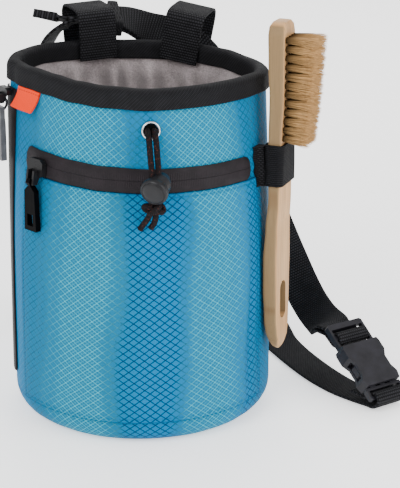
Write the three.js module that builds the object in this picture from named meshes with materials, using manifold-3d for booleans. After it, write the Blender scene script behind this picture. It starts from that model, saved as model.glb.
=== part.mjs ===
// A climbing chalk bag that stands on its round base: a soft ripstop wall with a fleece lining,
// a webbing binding round its rim, a zipped front pocket, a long side zip, a drawcord with its lock,
// two belt loops with the waist belt and its buckle, and a bamboo brush in an elastic holder.
// Millimetres, Z up, the front faces -Y, the origin is the middle of the base on the floor.
import * as THREE from "three";
import { mergeVertices } from "three/addons/utils/BufferGeometryUtils.js";
import Module from "manifold-3d";

const wasm = await Module();
wasm.setup();

// Bag body
const BAG_HEIGHT = 179;
const BASE_DIAMETER = 132.6;
const RIM_WIDTH = 130;
const RIM_DEPTH = 112;
const BOTTOM_RADIUS = 12;
const SHELL_WALL = 1.5;
const PANEL_WALL = 1;
const LINING_WALL = 1.7;
const BASE_WALL = 2;
const BINDING_WALL = 1.4;
const BINDING_HEIGHT = 7.8;
const FIT = 0.35;
const TAPER_POWER = 2.3;
const ROUND_STEPS = 44;

// Zips
const TAPE_WIDTH = 11.7;
const TAPE_WALL = 1.1;
const FRONT_ZIP_HEIGHT = 135.8;
const FRONT_ZIP_TILT = 0.02;
const FRONT_ZIP_START = -67.5;
const FRONT_ZIP_END = 53;
const FRONT_SLIDER_ANGLE = -56.5;
const FRONT_SLIDER_SAG = 2.6;
const SIDE_ZIP_ANGLE = -87.5;
const SIDE_ZIP_TOP = 166;
const SIDE_ZIP_BOTTOM = 20;
const SIDE_SLIDER_HEIGHT = 163.2;
const SIDE_SLIDER_TOP = 3;
const SIDE_PIVOT_DROP = 3.4;
const SLIDER_WIDTH = 11;
const SLIDER_THICKNESS = 2.8;
const PIVOT_RADIUS = 0.9;
const PIVOT_DROP = 5.8;
const PIVOT_OUT = 4.4;
const LUG_WALL = 1.3;
const EYE_WIDTH = 2.4;
const EYE_RADIUS = 2.4;
const PULLER_LENGTH = 24.6;
const PULLER_WIDTH = 8.6;
const PULLER_THICKNESS = 3;
const RING_RADIUS = 3.9;
const RING_WIRE = 1.4;

// Drawcord
const EYELET_HEIGHT = 160;
const EYELET_DIAMETER = 9.3;
const EYELET_BORE = 6.6;
const EYELET_WALL = 0.5;
const CORD_DIAMETER = 2.9;
const LOCK_DIAMETER = 13.6;
const LOCK_LIP = 3.6;
const LOCK_LENGTH = 9.6;
const BUTTON_DIAMETER = 9;
const BUTTON_LENGTH = 3.6;
const KNOT_SIZE = new THREE.Vector3(6.2, 4.4, 4.1);

// Label
const LABEL_WIDTH = 20;
const LABEL_HEIGHT = 10;
const LABEL_WALL = 0.9;
const LABEL_ANGLE = -69;

// Webbing, belt loops and belt
const WEBBING_WIDTH = 20;
const WEBBING_WALL = 1.5;
const LAYER_PITCH = 2.1;
const LOOP_HEIGHT = 15.4;
const LOOP_DEPTH = 28;
const HEM_THICKNESS = 4.4;
const KEEPER_LENGTH = 5;
const KEEPER_WALL = 1;

// Buckle: lengths run from the ladder's top edge towards the prong's end bar
const BUCKLE_LENGTH = 47;
const BUCKLE_WIDTH = 25.4;
const BUCKLE_THICKNESS = 8;
const BAR_THICKNESS = 3.2;
const LADDER_LENGTH = 14.5;
const SOCKET_LENGTH = 40;
const CAVITY_WIDTH = 19;
const CAVITY_THICKNESS = 4.4;
const CAVITY_TOP = 18;
const SLOT_SPAN = 21.2;
const LADDER_SLOTS = [
  { from: 3.2, to: 7 },
  { from: 9.6, to: 13.5 },
];
const PRONG_SLOT = { from: 42, to: 45.2 };
const SIDE_WINDOW = { from: 24, to: 34 };
const GUIDE_WIDTH = 3;

// Brush
const BRUSH_TOP = 204;
const BRUSH_BOTTOM = 34.7;
const BRUSH_WIDTH = 21;
const BRUSH_THICKNESS = 8.6;
const BRUSH_TURN = 60.5;
const BRUSH_OUT = 68;
const BRUSH_BACK = 9.3;
const SLOT_LENGTH = 20;
const SLOT_WIDTH = 8;
const SLOT_HEIGHT = 60.8;
const BRISTLE_LENGTH = 16.5;
const BRISTLE_TOP = 198;
const BRISTLE_BOTTOM = 144.4;
const BRISTLE_ROWS = 12;
const BRISTLE_COLUMNS = 3;
const BRISTLE_SPAN = 14.6;
const HOLDER_HEIGHT = 20.6;
const HOLDER_BOTTOM = 123;
const HOLDER_WALL = 1.2;

const WALL_HEIGHT = BAG_HEIGHT - BINDING_WALL - FIT;
const BASE_RADIUS = BASE_DIAMETER / 2;
const HALF = 0.5;
const QUARTER_TURN = Math.PI / 2;

// The rim seen from above and from the front. angle: degrees from the front, to the right;
// reach: share of the ellipse's radius; lift: share of the wall's height.
const RIM_SHAPE = [
  { angle: -180, reach: 1.0, lift: 0.001 },
  { angle: -150, reach: 1.0, lift: 0.01 },
  { angle: -115, reach: 0.985, lift: 0.021 },
  { angle: -100, reach: 1.0, lift: 0.024 },
  { angle: -90, reach: 1.01, lift: 0.021 },
  { angle: -82, reach: 0.965, lift: 0.018 },
  { angle: -66, reach: 0.935, lift: 0.019 },
  { angle: -54, reach: 0.942, lift: 0.016 },
  { angle: -38, reach: 0.972, lift: 0.009 },
  { angle: -22, reach: 0.993, lift: 0.003 },
  { angle: 0, reach: 1.0, lift: -0.004 },
  { angle: 25, reach: 0.99, lift: -0.004 },
  { angle: 42, reach: 0.968, lift: -0.006 },
  { angle: 60, reach: 0.97, lift: -0.008 },
  { angle: 78, reach: 0.995, lift: -0.012 },
  { angle: 95, reach: 0.993, lift: -0.017 },
  { angle: 110, reach: 0.98, lift: -0.016 },
  { angle: 126, reach: 1.0, lift: -0.011 },
  { angle: 150, reach: 1.0, lift: -0.003 },
  { angle: 180, reach: 1.0, lift: 0.001 },
];

// Broad soft dents of the wall. angle and width in degrees, height and span as shares of the
// wall's height, depth as a share of the base radius, lean in degrees over the whole height.
const DENTS = [
  { angle: 2, width: 9, height: 0.42, span: 0.25, depth: 0.014, lean: 16 },
  { angle: 38, width: 10, height: 0.5, span: 0.22, depth: 0.018, lean: -18 },
  { angle: 52, width: 9, height: 0.24, span: 0.1, depth: 0.016, lean: 20 },
  { angle: -46, width: 11, height: 0.5, span: 0.3, depth: 0.013, lean: 10 },
  { angle: 21, width: 10, height: 0.2, span: 0.12, depth: -0.008, lean: 0 },
  { angle: -22, width: 12, height: 0.45, span: 0.3, depth: -0.01, lean: 6 },
  { angle: 140, width: 18, height: 0.5, span: 0.25, depth: 0.02, lean: 12 },
  { angle: -140, width: 18, height: 0.45, span: 0.25, depth: 0.02, lean: -10 },
];

const colour = (hex, roughness, metalness = 0) =>
  new THREE.MeshStandardMaterial({ color: hex, roughness, metalness });
const RIPSTOP = colour(0x3ca5c8, 0.6);
const FLEECE = colour(0x8c8282, 0.95);
const WEBBING = colour(0x232326, 0.85);
const ZIP_TAPE = colour(0x2e2a31, 0.7);
const PLASTIC = colour(0x2b2b31, 0.45);
const PULLER_PLASTIC = colour(0x1c1c1f, 0.5);
const STEEL = colour(0xc9ccd0, 0.25, 1);
const CORD = colour(0x17151a, 0.8);
const LABEL = colour(0xf4521c, 0.6);
const BAMBOO = colour(0xd7b48c, 0.55);
const BRISTLE = colour(0xc2a05e, 0.8);

const group = new THREE.Group();

// Adds a mesh under a parent, with its node's name and material.
function piece(name, geometry, material, parent = group) {
  const mesh = new THREE.Mesh(geometry, material);
  mesh.name = name;
  parent.add(mesh);
  return mesh;
}

const radians = (degrees) => THREE.MathUtils.degToRad(degrees);

// Value of a table's column at a key, with a smooth step between two rows.
function lookUp(table, key, column, at) {
  const last = table.length - 1;
  if (at <= table[0][key]) return table[0][column];
  if (at >= table[last][key]) return table[last][column];
  const next = table.findIndex((row) => row[key] > at);
  const low = table[next - 1];
  const high = table[next];
  const share = THREE.MathUtils.smoothstep(at, low[key], high[key]);
  return THREE.MathUtils.lerp(low[column], high[column], share);
}

const wrapAngle = (angle) => THREE.MathUtils.euclideanModulo(angle + 180, 360) - 180;

// Depth of all dents at an angle and a height share.
function dentDepth(angle, share) {
  let depth = 0;
  for (const dent of DENTS) {
    const across = wrapAngle(angle - dent.angle - dent.lean * (share - dent.height)) / dent.width;
    const along = (share - dent.height) / dent.span;
    depth += dent.depth * Math.exp(-across * across - along * along);
  }
  return depth * BASE_RADIUS;
}

// Point of the wall: angle in degrees from the front, height above the floor, and the distance
// out from the wall's outer face.
function wallPoint(angle, height, out = 0) {
  const share = height / WALL_HEIGHT;
  const taper = Math.pow(Math.max(share, 0), TAPER_POWER);
  const inRim = BINDING_WALL + FIT;
  const halfWidth = THREE.MathUtils.lerp(BASE_RADIUS, RIM_WIDTH * HALF - inRim, taper);
  const halfDepth = THREE.MathUtils.lerp(BASE_RADIUS, RIM_DEPTH * HALF - inRim, taper);
  const turn = radians(angle);
  const ellipse = 1 / Math.hypot(Math.sin(turn) / halfWidth, Math.cos(turn) / halfDepth);
  const rimShare = THREE.MathUtils.smoothstep(share, HALF, 1);
  const reach = 1 + (lookUp(RIM_SHAPE, "angle", "reach", wrapAngle(angle)) - 1) * rimShare;
  const lift = lookUp(RIM_SHAPE, "angle", "lift", wrapAngle(angle)) * WALL_HEIGHT * rimShare;
  const radius = ellipse * reach - dentDepth(angle, share) + out;
  return new THREE.Vector3(radius * Math.sin(turn), -radius * Math.cos(turn), height + lift);
}

// Point of the rounded bottom edge: arc runs from 0, flat on the floor, to a quarter turn.
function edgePoint(angle, arc, out = 0) {
  const radius = BOTTOM_RADIUS + out;
  const wall = wallPoint(angle, BOTTOM_RADIUS, radius * Math.sin(arc) - BOTTOM_RADIUS);
  return wall.setZ(BOTTOM_RADIUS - radius * Math.cos(arc));
}

const ringOf = (pointAt) =>
  Array.from({ length: ROUND_STEPS }, (_, i) => pointAt(-180 + (360 * i) / ROUND_STEPS));

// Turns triangles into a geometry whose faces point out.
function bodyOf(triangles) {
  let volume = 0;
  for (const [a, b, c] of triangles) volume += a.dot(b.clone().cross(c));
  const ordered = volume < 0 ? triangles.map(([a, b, c]) => [a, c, b]) : triangles;
  return new THREE.BufferGeometry().setFromPoints(ordered.flat());
}

const quad = (a, b, c, d) => [[a, b, c], [a, c, d]];

// Joins rings of points one after another; closes on itself, or on a middle point at each end.
function ringBody(rings, closeOnItself) {
  const triangles = [];
  const count = rings[0].length;
  const pairs = closeOnItself ? rings.length : rings.length - 1;
  for (let i = 0; i < pairs; i++) {
    const low = rings[i];
    const high = rings[(i + 1) % rings.length];
    for (let j = 0; j < count; j++) {
      const k = (j + 1) % count;
      triangles.push(...quad(low[j], low[k], high[k], high[j]));
    }
  }
  if (!closeOnItself) {
    for (const [ring, flip] of [[rings[0], true], [rings[rings.length - 1], false]]) {
      const middle = ring
        .reduce((sum, point) => sum.add(point), new THREE.Vector3())
        .divideScalar(count);
      for (let j = 0; j < count; j++) {
        const k = (j + 1) % count;
        triangles.push(flip ? [middle, ring[k], ring[j]] : [middle, ring[j], ring[k]]);
      }
    }
  }
  return bodyOf(triangles);
}

// A sheet with a thickness, from the grids of points of its front and back.
function sheetBody(front, back) {
  const triangles = [];
  const rows = front.length - 1;
  const columns = front[0].length - 1;
  for (let i = 0; i < rows; i++) {
    for (let j = 0; j < columns; j++) {
      triangles.push(...quad(front[i][j], front[i][j + 1], front[i + 1][j + 1], front[i + 1][j]));
      triangles.push(...quad(back[i][j], back[i + 1][j], back[i + 1][j + 1], back[i][j + 1]));
    }
    triangles.push(...quad(front[i + 1][0], back[i + 1][0], back[i][0], front[i][0]));
    triangles.push(
      ...quad(front[i][columns], back[i][columns], back[i + 1][columns], front[i + 1][columns]),
    );
  }
  for (let j = 0; j < columns; j++) {
    triangles.push(...quad(front[0][j], back[0][j], back[0][j + 1], front[0][j + 1]));
    triangles.push(
      ...quad(front[rows][j + 1], back[rows][j + 1], back[rows][j], front[rows][j]),
    );
  }
  return bodyOf(triangles);
}

// A manifold solid of a geometry, and back again, for joins and cuts.
function solidOf(geometry) {
  const bare = new THREE.BufferGeometry().setAttribute(
    "position",
    (geometry.index ? geometry.toNonIndexed() : geometry).getAttribute("position"),
  );
  const merged = mergeVertices(bare, 1e-4);
  return new wasm.Manifold(
    new wasm.Mesh({
      numProp: 3,
      vertProperties: merged.getAttribute("position").array,
      triVerts: new Uint32Array(merged.index.array),
    }),
  );
}

function geometryOf(solid) {
  const mesh = solid.getMesh();
  const geometry = new THREE.BufferGeometry();
  geometry.setAttribute("position", new THREE.Float32BufferAttribute(mesh.vertProperties, 3));
  geometry.setIndex(new THREE.Uint32BufferAttribute(mesh.triVerts, 1));
  return geometry;
}

const join = (...geometries) =>
  geometryOf(geometries.map(solidOf).reduce((whole, next) => whole.add(next)));
const cut = (geometry, ...tools) =>
  geometryOf(tools.map(solidOf).reduce((whole, tool) => whole.subtract(tool), solidOf(geometry)));

// A plate from an outline, its thickness centred on the outline's plane.
function plate(shape, thickness, curveSegments = 5) {
  return new THREE.ExtrudeGeometry(shape, {
    depth: thickness,
    bevelEnabled: false,
    curveSegments,
  }).translate(0, 0, -thickness / 2);
}

// A plate whose outline is drawn as height and distance out, standing across the X axis.
function standingPlate(profile, thickness) {
  const toWall = new THREE.Matrix4().makeBasis(
    new THREE.Vector3(0, 1, 0),
    new THREE.Vector3(0, 0, 1),
    new THREE.Vector3(1, 0, 0),
  );
  return plate(profile, thickness).applyMatrix4(toWall);
}

const block = (x0, x1, y0, y1, z0, z1) =>
  new THREE.BoxGeometry(x1 - x0, y1 - y0, z1 - z0).translate(
    (x0 + x1) / 2,
    (y0 + y1) / 2,
    (z0 + z1) / 2,
  );

function polygon(points) {
  return new THREE.Shape(points.map(([x, y]) => new THREE.Vector2(x, y)));
}

// A group whose X runs along the wall to the right, Y up the wall and Z straight out of it.
function wallGroup(angle, height, out) {
  const nearby = 1;
  const origin = wallPoint(angle, height, out);
  const along = wallPoint(angle + nearby, height, out).sub(wallPoint(angle - nearby, height, out));
  along.setZ(0).normalize();
  const up = wallPoint(angle, height + nearby, out).sub(wallPoint(angle, height - nearby, out));
  up.addScaledVector(along, -up.dot(along)).normalize();
  const holder = new THREE.Group();
  const outward = along.clone().cross(up);
  holder.matrixAutoUpdate = false;
  holder.matrix.makeBasis(along, up, outward).setPosition(origin);
  group.add(holder);
  return holder;
}

// A patch that lies on the wall, between two angles and between a lower and an upper line.
function wallPatch(angles, low, high, rows, inner, thickness) {
  const grid = (out) =>
    angles.map((angle) =>
      Array.from({ length: rows + 1 }, (_, j) =>
        wallPoint(angle, THREE.MathUtils.lerp(low(angle), high(angle), j / rows), out),
      ),
    );
  return sheetBody(grid(inner + thickness), grid(inner));
}

const steps = (from, to, count) =>
  Array.from({ length: count + 1 }, (_, i) => THREE.MathUtils.lerp(from, to, i / count));

// Body of the bag
const WALL_SHARES = [0.16, 0.26, 0.36, 0.46, 0.56, 0.66, 0.75, 0.83, 0.91, 1];
const EDGE_ARCS = [0, 0.25, 0.5, 0.75, 1].map((share) => share * QUARTER_TURN);

function shellGeometry() {
  const outer = [
    ...EDGE_ARCS.map((arc) => ringOf((angle) => edgePoint(angle, arc))),
    ...WALL_SHARES.map((share) => ringOf((angle) => wallPoint(angle, share * WALL_HEIGHT))),
  ];
  const inner = [
    ...EDGE_ARCS.map((arc) => ringOf((angle) => edgePoint(angle, arc, -SHELL_WALL))),
    ...WALL_SHARES.map((share) =>
      ringOf((angle) => wallPoint(angle, share * WALL_HEIGHT, -SHELL_WALL)),
    ),
  ];
  return ringBody([...outer, ...inner.reverse()], true);
}

function liningGeometry() {
  const outside = -SHELL_WALL - 2 * FIT;
  const inside = outside - LINING_WALL;
  const arcs = EDGE_ARCS.filter((_, i) => i > 0 && i % 2 === 0);
  const shares = WALL_SHARES.filter((_, i) => i % 2 === 1);
  const floorLift = BASE_WALL - SHELL_WALL;
  const rise = (point) => point.setZ(point.z + floorLift);
  const skin = (out) => [
    ringOf((angle) => rise(edgePoint(angle, 0, out))),
    ...arcs.map((arc) => ringOf((angle) => rise(edgePoint(angle, arc, out)))),
    ...shares.map((share) => ringOf((angle) => wallPoint(angle, share * WALL_HEIGHT, out))),
  ];
  return ringBody([...skin(outside), ...skin(inside).reverse()], false);
}

function bindingGeometry() {
  const outer = FIT;
  const inner = -SHELL_WALL - LINING_WALL - 3 * FIT;
  const soft = BINDING_WALL * HALF;
  const profile = [
    { out: outer, drop: BINDING_HEIGHT },
    { out: outer + BINDING_WALL, drop: BINDING_HEIGHT },
    { out: outer + BINDING_WALL, drop: soft },
    { out: outer + soft, drop: -FIT - BINDING_WALL },
    { out: inner - soft, drop: -FIT - BINDING_WALL },
    { out: inner - BINDING_WALL, drop: soft },
    { out: inner - BINDING_WALL, drop: BINDING_HEIGHT },
    { out: inner, drop: BINDING_HEIGHT },
    { out: inner, drop: -FIT },
    { out: outer, drop: -FIT },
  ];
  const rings = profile.map(({ out, drop }) =>
    ringOf((angle) => wallPoint(angle, WALL_HEIGHT - drop, out)),
  );
  return ringBody(rings, true);
}

function baseGeometry() {
  const disc = ringOf((angle) => edgePoint(angle, 0));
  const inset = (ring, by, height) =>
    ring.map((point) => {
      const radius = Math.hypot(point.x, point.y);
      return new THREE.Vector3(
        point.x * (1 - by / radius),
        point.y * (1 - by / radius),
        height,
      );
    });
  return ringBody([inset(disc, FIT, 0), inset(disc, FIT, BASE_WALL)], false);
}

// Front zip: the tape's centre line falls a little to the right.
const frontZipLine = (angle) => FRONT_ZIP_HEIGHT - FRONT_ZIP_TILT * angle;
const PANEL_START = -68;
const PANEL_END = 57;
const PANEL_BOTTOM_SHARE = 0.075;
const PANEL_COLUMNS = 24;
const PANEL_ROWS = 7;

function pocketPanelGeometry() {
  const angles = steps(PANEL_START, PANEL_END, PANEL_COLUMNS);
  const bottom = () => PANEL_BOTTOM_SHARE * WALL_HEIGHT;
  const top = (angle) => frontZipLine(angle) - TAPE_WIDTH * HALF - FIT;
  return wallPatch(angles, bottom, top, PANEL_ROWS, FIT, PANEL_WALL);
}

function frontTapeGeometry() {
  const cornerShare = 0.45;
  const degreesPerMillimetre = 180 / (Math.PI * BASE_RADIUS);
  const corner = TAPE_WIDTH * cornerShare;
  const roundedHalf = (angle) => {
    const fromStart = (angle - FRONT_ZIP_START) / degreesPerMillimetre;
    const fromEnd = (FRONT_ZIP_END - angle) / degreesPerMillimetre;
    const inside = Math.min(fromStart, fromEnd, corner);
    const missing = corner - Math.sqrt(Math.max(0, corner ** 2 - (corner - inside) ** 2));
    return TAPE_WIDTH * HALF - missing;
  };
  const turnIn = corner * degreesPerMillimetre;
  const angles = [
    FRONT_ZIP_START,
    FRONT_ZIP_START + turnIn * 0.3,
    ...steps(FRONT_ZIP_START + turnIn, FRONT_ZIP_END - turnIn, 20),
    FRONT_ZIP_END - turnIn * 0.3,
    FRONT_ZIP_END,
  ];
  const low = (angle) => frontZipLine(angle) - roundedHalf(angle);
  const high = (angle) => frontZipLine(angle) + roundedHalf(angle);
  return wallPatch(angles, low, high, 2, FIT, TAPE_WALL);
}

function sideTapeGeometry() {
  const half = TAPE_WIDTH * HALF * (180 / (Math.PI * BASE_RADIUS));
  const heights = steps(SIDE_ZIP_BOTTOM, SIDE_ZIP_TOP, 18);
  const angles = steps(SIDE_ZIP_ANGLE - half, SIDE_ZIP_ANGLE + half, 4);
  const grid = (out) =>
    heights.map((height) => angles.map((angle) => wallPoint(angle, height, out)));
  return sheetBody(grid(FIT + TAPE_WALL), grid(FIT));
}

// A slider in the tape's own axes: a body, and two lugs that hold the pivot below it.
function sliderGeometry(top, drop) {
  const lower = drop - EYE_RADIUS - 2 * FIT;
  const along = SLIDER_WIDTH;
  const lugIn = EYE_WIDTH * HALF + FIT;
  const lugOut = lugIn + LUG_WALL;
  const body = plate(
    polygon([
      [-along * 0.5, -lower],
      [along * 0.5, -lower],
      [along * 0.5, top * 0.68],
      [along * 0.3, top],
      [-along * 0.3, top],
      [-along * 0.5, top * 0.68],
    ]),
    SLIDER_THICKNESS,
  ).translate(0, 0, SLIDER_THICKNESS / 2);
  const lugProfile = polygon([
    [0, SLIDER_THICKNESS * 0.4],
    [0, PIVOT_OUT + PIVOT_RADIUS],
    [-drop - PIVOT_RADIUS - FIT, PIVOT_OUT + PIVOT_RADIUS + FIT],
    [-drop - PIVOT_RADIUS - FIT, PIVOT_OUT - PIVOT_RADIUS - FIT],
    [-lower, SLIDER_THICKNESS * 0.4],
  ]);
  const middle = (lugIn + lugOut) / 2;
  const lug = standingPlate(lugProfile, LUG_WALL);
  const pivot = new THREE.CylinderGeometry(PIVOT_RADIUS, PIVOT_RADIUS, 2 * middle, 8)
    .rotateZ(QUARTER_TURN)
    .translate(0, -drop, PIVOT_OUT);
  return join(
    body,
    lug.clone().translate(middle, 0, 0),
    lug.clone().translate(-middle, 0, 0),
    pivot,
  );
}

// A puller that hangs from a pivot at its origin: a round eye, a neck and a slotted plate.
function pullerGeometry() {
  const eyeShape = new THREE.Shape().absarc(0, 0, EYE_RADIUS, 0, 4 * QUARTER_TURN);
  eyeShape.holes.push(new THREE.Path().absarc(0, 0, PIVOT_RADIUS + FIT, 0, 4 * QUARTER_TURN));
  const eye = plate(eyeShape, EYE_WIDTH, 4).rotateY(QUARTER_TURN);
  const topWidth = PULLER_WIDTH * 0.84;
  const plateTop = -EYE_RADIUS + FIT;
  const sheet = polygon([
    [-EYE_WIDTH * HALF, plateTop],
    [-topWidth / 2, plateTop - EYE_RADIUS],
    [-PULLER_WIDTH / 2, -PULLER_LENGTH],
    [PULLER_WIDTH / 2, -PULLER_LENGTH],
    [topWidth / 2, plateTop - EYE_RADIUS],
    [EYE_WIDTH * HALF, plateTop],
  ]);
  const slotHalf = PULLER_WIDTH * 0.24;
  const slotLow = -PULLER_LENGTH * 0.9;
  const slotHigh = -PULLER_LENGTH * 0.66;
  sheet.holes.push(
    new THREE.Path([
      new THREE.Vector2(-slotHalf, slotLow),
      new THREE.Vector2(slotHalf, slotLow),
      new THREE.Vector2(slotHalf, slotHigh),
      new THREE.Vector2(-slotHalf, slotHigh),
    ]),
  );
  return join(eye, plate(sheet, PULLER_THICKNESS));
}

piece("outer_shell", cut(shellGeometry(), eyeletBore()), RIPSTOP);
piece("fleece_lining", liningGeometry(), FLEECE);
piece("rim_binding", bindingGeometry(), WEBBING);
piece("base_panel", baseGeometry(), RIPSTOP);
piece("front_pocket_panel", pocketPanelGeometry(), RIPSTOP);
piece("front_zip_tape", frontTapeGeometry(), ZIP_TAPE);
piece("side_zip_tape", sideTapeGeometry(), ZIP_TAPE);

// The eyelet goes through the wall, so its bore is cut through the shell.
function eyeletBore() {
  const radius = EYELET_BORE * HALF + EYELET_WALL + FIT;
  return new THREE.CylinderGeometry(radius, radius, SHELL_WALL * 6, 20)
    .rotateX(QUARTER_TURN)
    .applyMatrix4(eyeletPlace());
}

function eyeletPlace() {
  const holder = wallGroup(0, EYELET_HEIGHT, 0);
  group.remove(holder);
  return holder.matrix;
}

function eyeletGeometry() {
  const bore = EYELET_BORE * HALF;
  const collar = bore + EYELET_WALL;
  const rim = EYELET_DIAMETER * HALF;
  const front = FIT + EYELET_WALL * 2;
  const profile = [
    [bore, -SHELL_WALL],
    [collar, -SHELL_WALL],
    [collar, FIT],
    [rim, FIT],
    [rim, FIT + EYELET_WALL],
    [collar + EYELET_WALL, front],
    [bore + EYELET_WALL * HALF, front],
    [bore, FIT],
    [bore, -SHELL_WALL],
  ].map(([radius, height]) => new THREE.Vector2(radius, height));
  return new THREE.LatheGeometry(profile, 20).rotateX(QUARTER_TURN);
}
piece("eyelet", eyeletGeometry(), STEEL, wallGroup(0, EYELET_HEIGHT, 0));

// A group at a slider's pivot whose X runs along the pivot and whose Y is plumb.
function pivotGroup(slider, drop) {
  const origin = new THREE.Vector3(0, -drop, PIVOT_OUT).applyMatrix4(slider.matrix);
  const along = new THREE.Vector3().setFromMatrixColumn(slider.matrix, 0);
  const up = new THREE.Vector3(0, 0, 1);
  const holder = new THREE.Group();
  holder.matrixAutoUpdate = false;
  holder.matrix.makeBasis(along, up, along.clone().cross(up)).setPosition(origin);
  group.add(holder);
  return holder;
}

// Front zip slider and its puller, which hangs plumb from the slider's pivot
const sliderOut = 2 * FIT + TAPE_WALL;
const frontSliderHeight = frontZipLine(FRONT_SLIDER_ANGLE) - FRONT_SLIDER_SAG;
const frontSlider = wallGroup(FRONT_SLIDER_ANGLE, frontSliderHeight, sliderOut);
const frontPivot = pivotGroup(frontSlider, PIVOT_DROP);
piece(
  "front_zip_slider",
  sliderGeometry(SLIDER_WIDTH * HALF, PIVOT_DROP),
  PULLER_PLASTIC,
  frontSlider,
);
piece("front_zip_puller", pullerGeometry(), PULLER_PLASTIC, frontPivot);

// Side zip slider, the ring that hangs from its pivot, and the puller on the ring
const sideSlider = wallGroup(SIDE_ZIP_ANGLE, SIDE_SLIDER_HEIGHT, sliderOut + FIT);
const sidePivot = pivotGroup(sideSlider, SIDE_PIVOT_DROP);
const ringDrop = RING_RADIUS - RING_WIRE * HALF - PIVOT_RADIUS - FIT;
const ringGeometry = new THREE.TorusGeometry(RING_RADIUS, RING_WIRE * HALF, 6, 16)
  .rotateY(QUARTER_TURN)
  .translate(0, -ringDrop, 0);
piece(
  "side_zip_slider",
  sliderGeometry(SIDE_SLIDER_TOP, SIDE_PIVOT_DROP),
  STEEL,
  sideSlider,
);
piece("side_zip_ring", ringGeometry, STEEL, sidePivot);

// A puller whose eye is a hole across its width, so that the ring passes through it.
function sidePullerGeometry() {
  const hole = RING_WIRE * HALF + 2 * FIT;
  const neck = hole + LUG_WALL;
  const thin = PULLER_THICKNESS * 0.4;
  const thick = PULLER_THICKNESS * HALF;
  const profile = polygon([
    [neck, -thin],
    [neck, thin],
    [-neck, thin],
    [-PULLER_LENGTH * 0.25, thick],
    [-PULLER_LENGTH, thick],
    [-PULLER_LENGTH, -thick],
    [-PULLER_LENGTH * 0.25, -thick],
    [-neck, -thin],
  ]);
  const body = standingPlate(profile, PULLER_WIDTH * 0.8);
  const bore = new THREE.CylinderGeometry(hole, hole, PULLER_WIDTH, 8).rotateX(QUARTER_TURN);
  return cut(body, bore);
}
piece(
  "side_zip_puller",
  sidePullerGeometry().translate(0, -ringDrop - RING_RADIUS, 0),
  PULLER_PLASTIC,
  sidePivot,
);

// The drawcord. Its points are chosen by hand: two strands side by side leave the eyelet, go
// through the lock and the knot, and end in two short tails.
const STRAND_LEFT = [
  [-1.6, -57.2, 159.4],
  [-1.6, -61.5, 158.6],
  [-1.6, -65.8, 155.4],
  [-1.5, -69.2, 150.2],
  [-1.2, -71.4, 144.6],
];
const STRAND_RIGHT = [
  [1.6, -57.2, 159.4],
  [1.6, -61.6, 158.6],
  [1.7, -65.9, 155.4],
  [1.8, -69.2, 150.2],
  [2.0, -71.4, 144.4],
];
const TAIL_LEFT = [
  [-2.6, -69.4, 120.7],
  [-4.4, -67.4, 117.2],
  [-6.4, -65.6, 113.6],
];
const TAIL_RIGHT = [
  [0.7, -69.6, 120.6],
  [0.2, -67.8, 117.2],
  [-1.2, -66, 114.2],
];
const LOCK_FRONT = new THREE.Vector3(-1.6, -78.2, 134.4);
const LOCK_AXIS = new THREE.Vector3(0.45, 0.84, 0.3).normalize();
const KNOT_CENTRE = new THREE.Vector3(-0.4, -71.2, 125.2);

function cordTube(points, cordSteps) {
  const route = new THREE.CatmullRomCurve3(points.map((point) => new THREE.Vector3(...point)));
  const sides = 8;
  const section = polygon(
    Array.from({ length: sides }, (_, i) => {
      const turn = (4 * QUARTER_TURN * i) / sides;
      return [
        CORD_DIAMETER * HALF * Math.cos(turn),
        CORD_DIAMETER * HALF * Math.sin(turn),
      ];
    }),
  );
  return new THREE.ExtrudeGeometry(section, { steps: cordSteps, extrudePath: route });
}
piece("draw_cord_left", cordTube(STRAND_LEFT, 8), CORD);
piece("draw_cord_right", cordTube(STRAND_RIGHT, 8), CORD);
piece("cord_tail_left", cordTube(TAIL_LEFT, 3), CORD);
piece("cord_tail_right", cordTube(TAIL_RIGHT, 3), CORD);

// A round body along the lock's axis, from a profile of radius and distance from its front.
function lockBody(name, profile, material) {
  const shape = profile.map(([radius, along]) => new THREE.Vector2(radius, along));
  const mesh = piece(name, new THREE.LatheGeometry(shape, 16), material);
  mesh.quaternion.setFromUnitVectors(new THREE.Vector3(0, 1, 0), LOCK_AXIS);
  mesh.position.copy(LOCK_FRONT);
}
const lockRadius = LOCK_DIAMETER * HALF;
const buttonRadius = BUTTON_DIAMETER * HALF;
const buttonStart = LOCK_LENGTH + FIT;
lockBody(
  "cord_lock_barrel",
  [
    [0, 0],
    [lockRadius * 0.72, 0.35],
    [lockRadius * 0.94, 1.2],
    [lockRadius, LOCK_LIP * 0.65],
    [lockRadius, LOCK_LIP],
    [lockRadius * 0.84, LOCK_LIP * 1.3],
    [lockRadius * 0.84, LOCK_LENGTH],
    [0, LOCK_LENGTH],
  ],
  PLASTIC,
);
lockBody(
  "cord_lock_button",
  [
    [0, buttonStart],
    [buttonRadius, buttonStart],
    [buttonRadius, buttonStart + BUTTON_LENGTH * 0.7],
    [buttonRadius * 0.8, buttonStart + BUTTON_LENGTH],
    [0, buttonStart + BUTTON_LENGTH],
  ],
  PLASTIC,
);
const knot = piece("cord_knot", new THREE.SphereGeometry(1, 14, 10), CORD);
knot.position.copy(KNOT_CENTRE);
knot.scale.copy(KNOT_SIZE);

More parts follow.
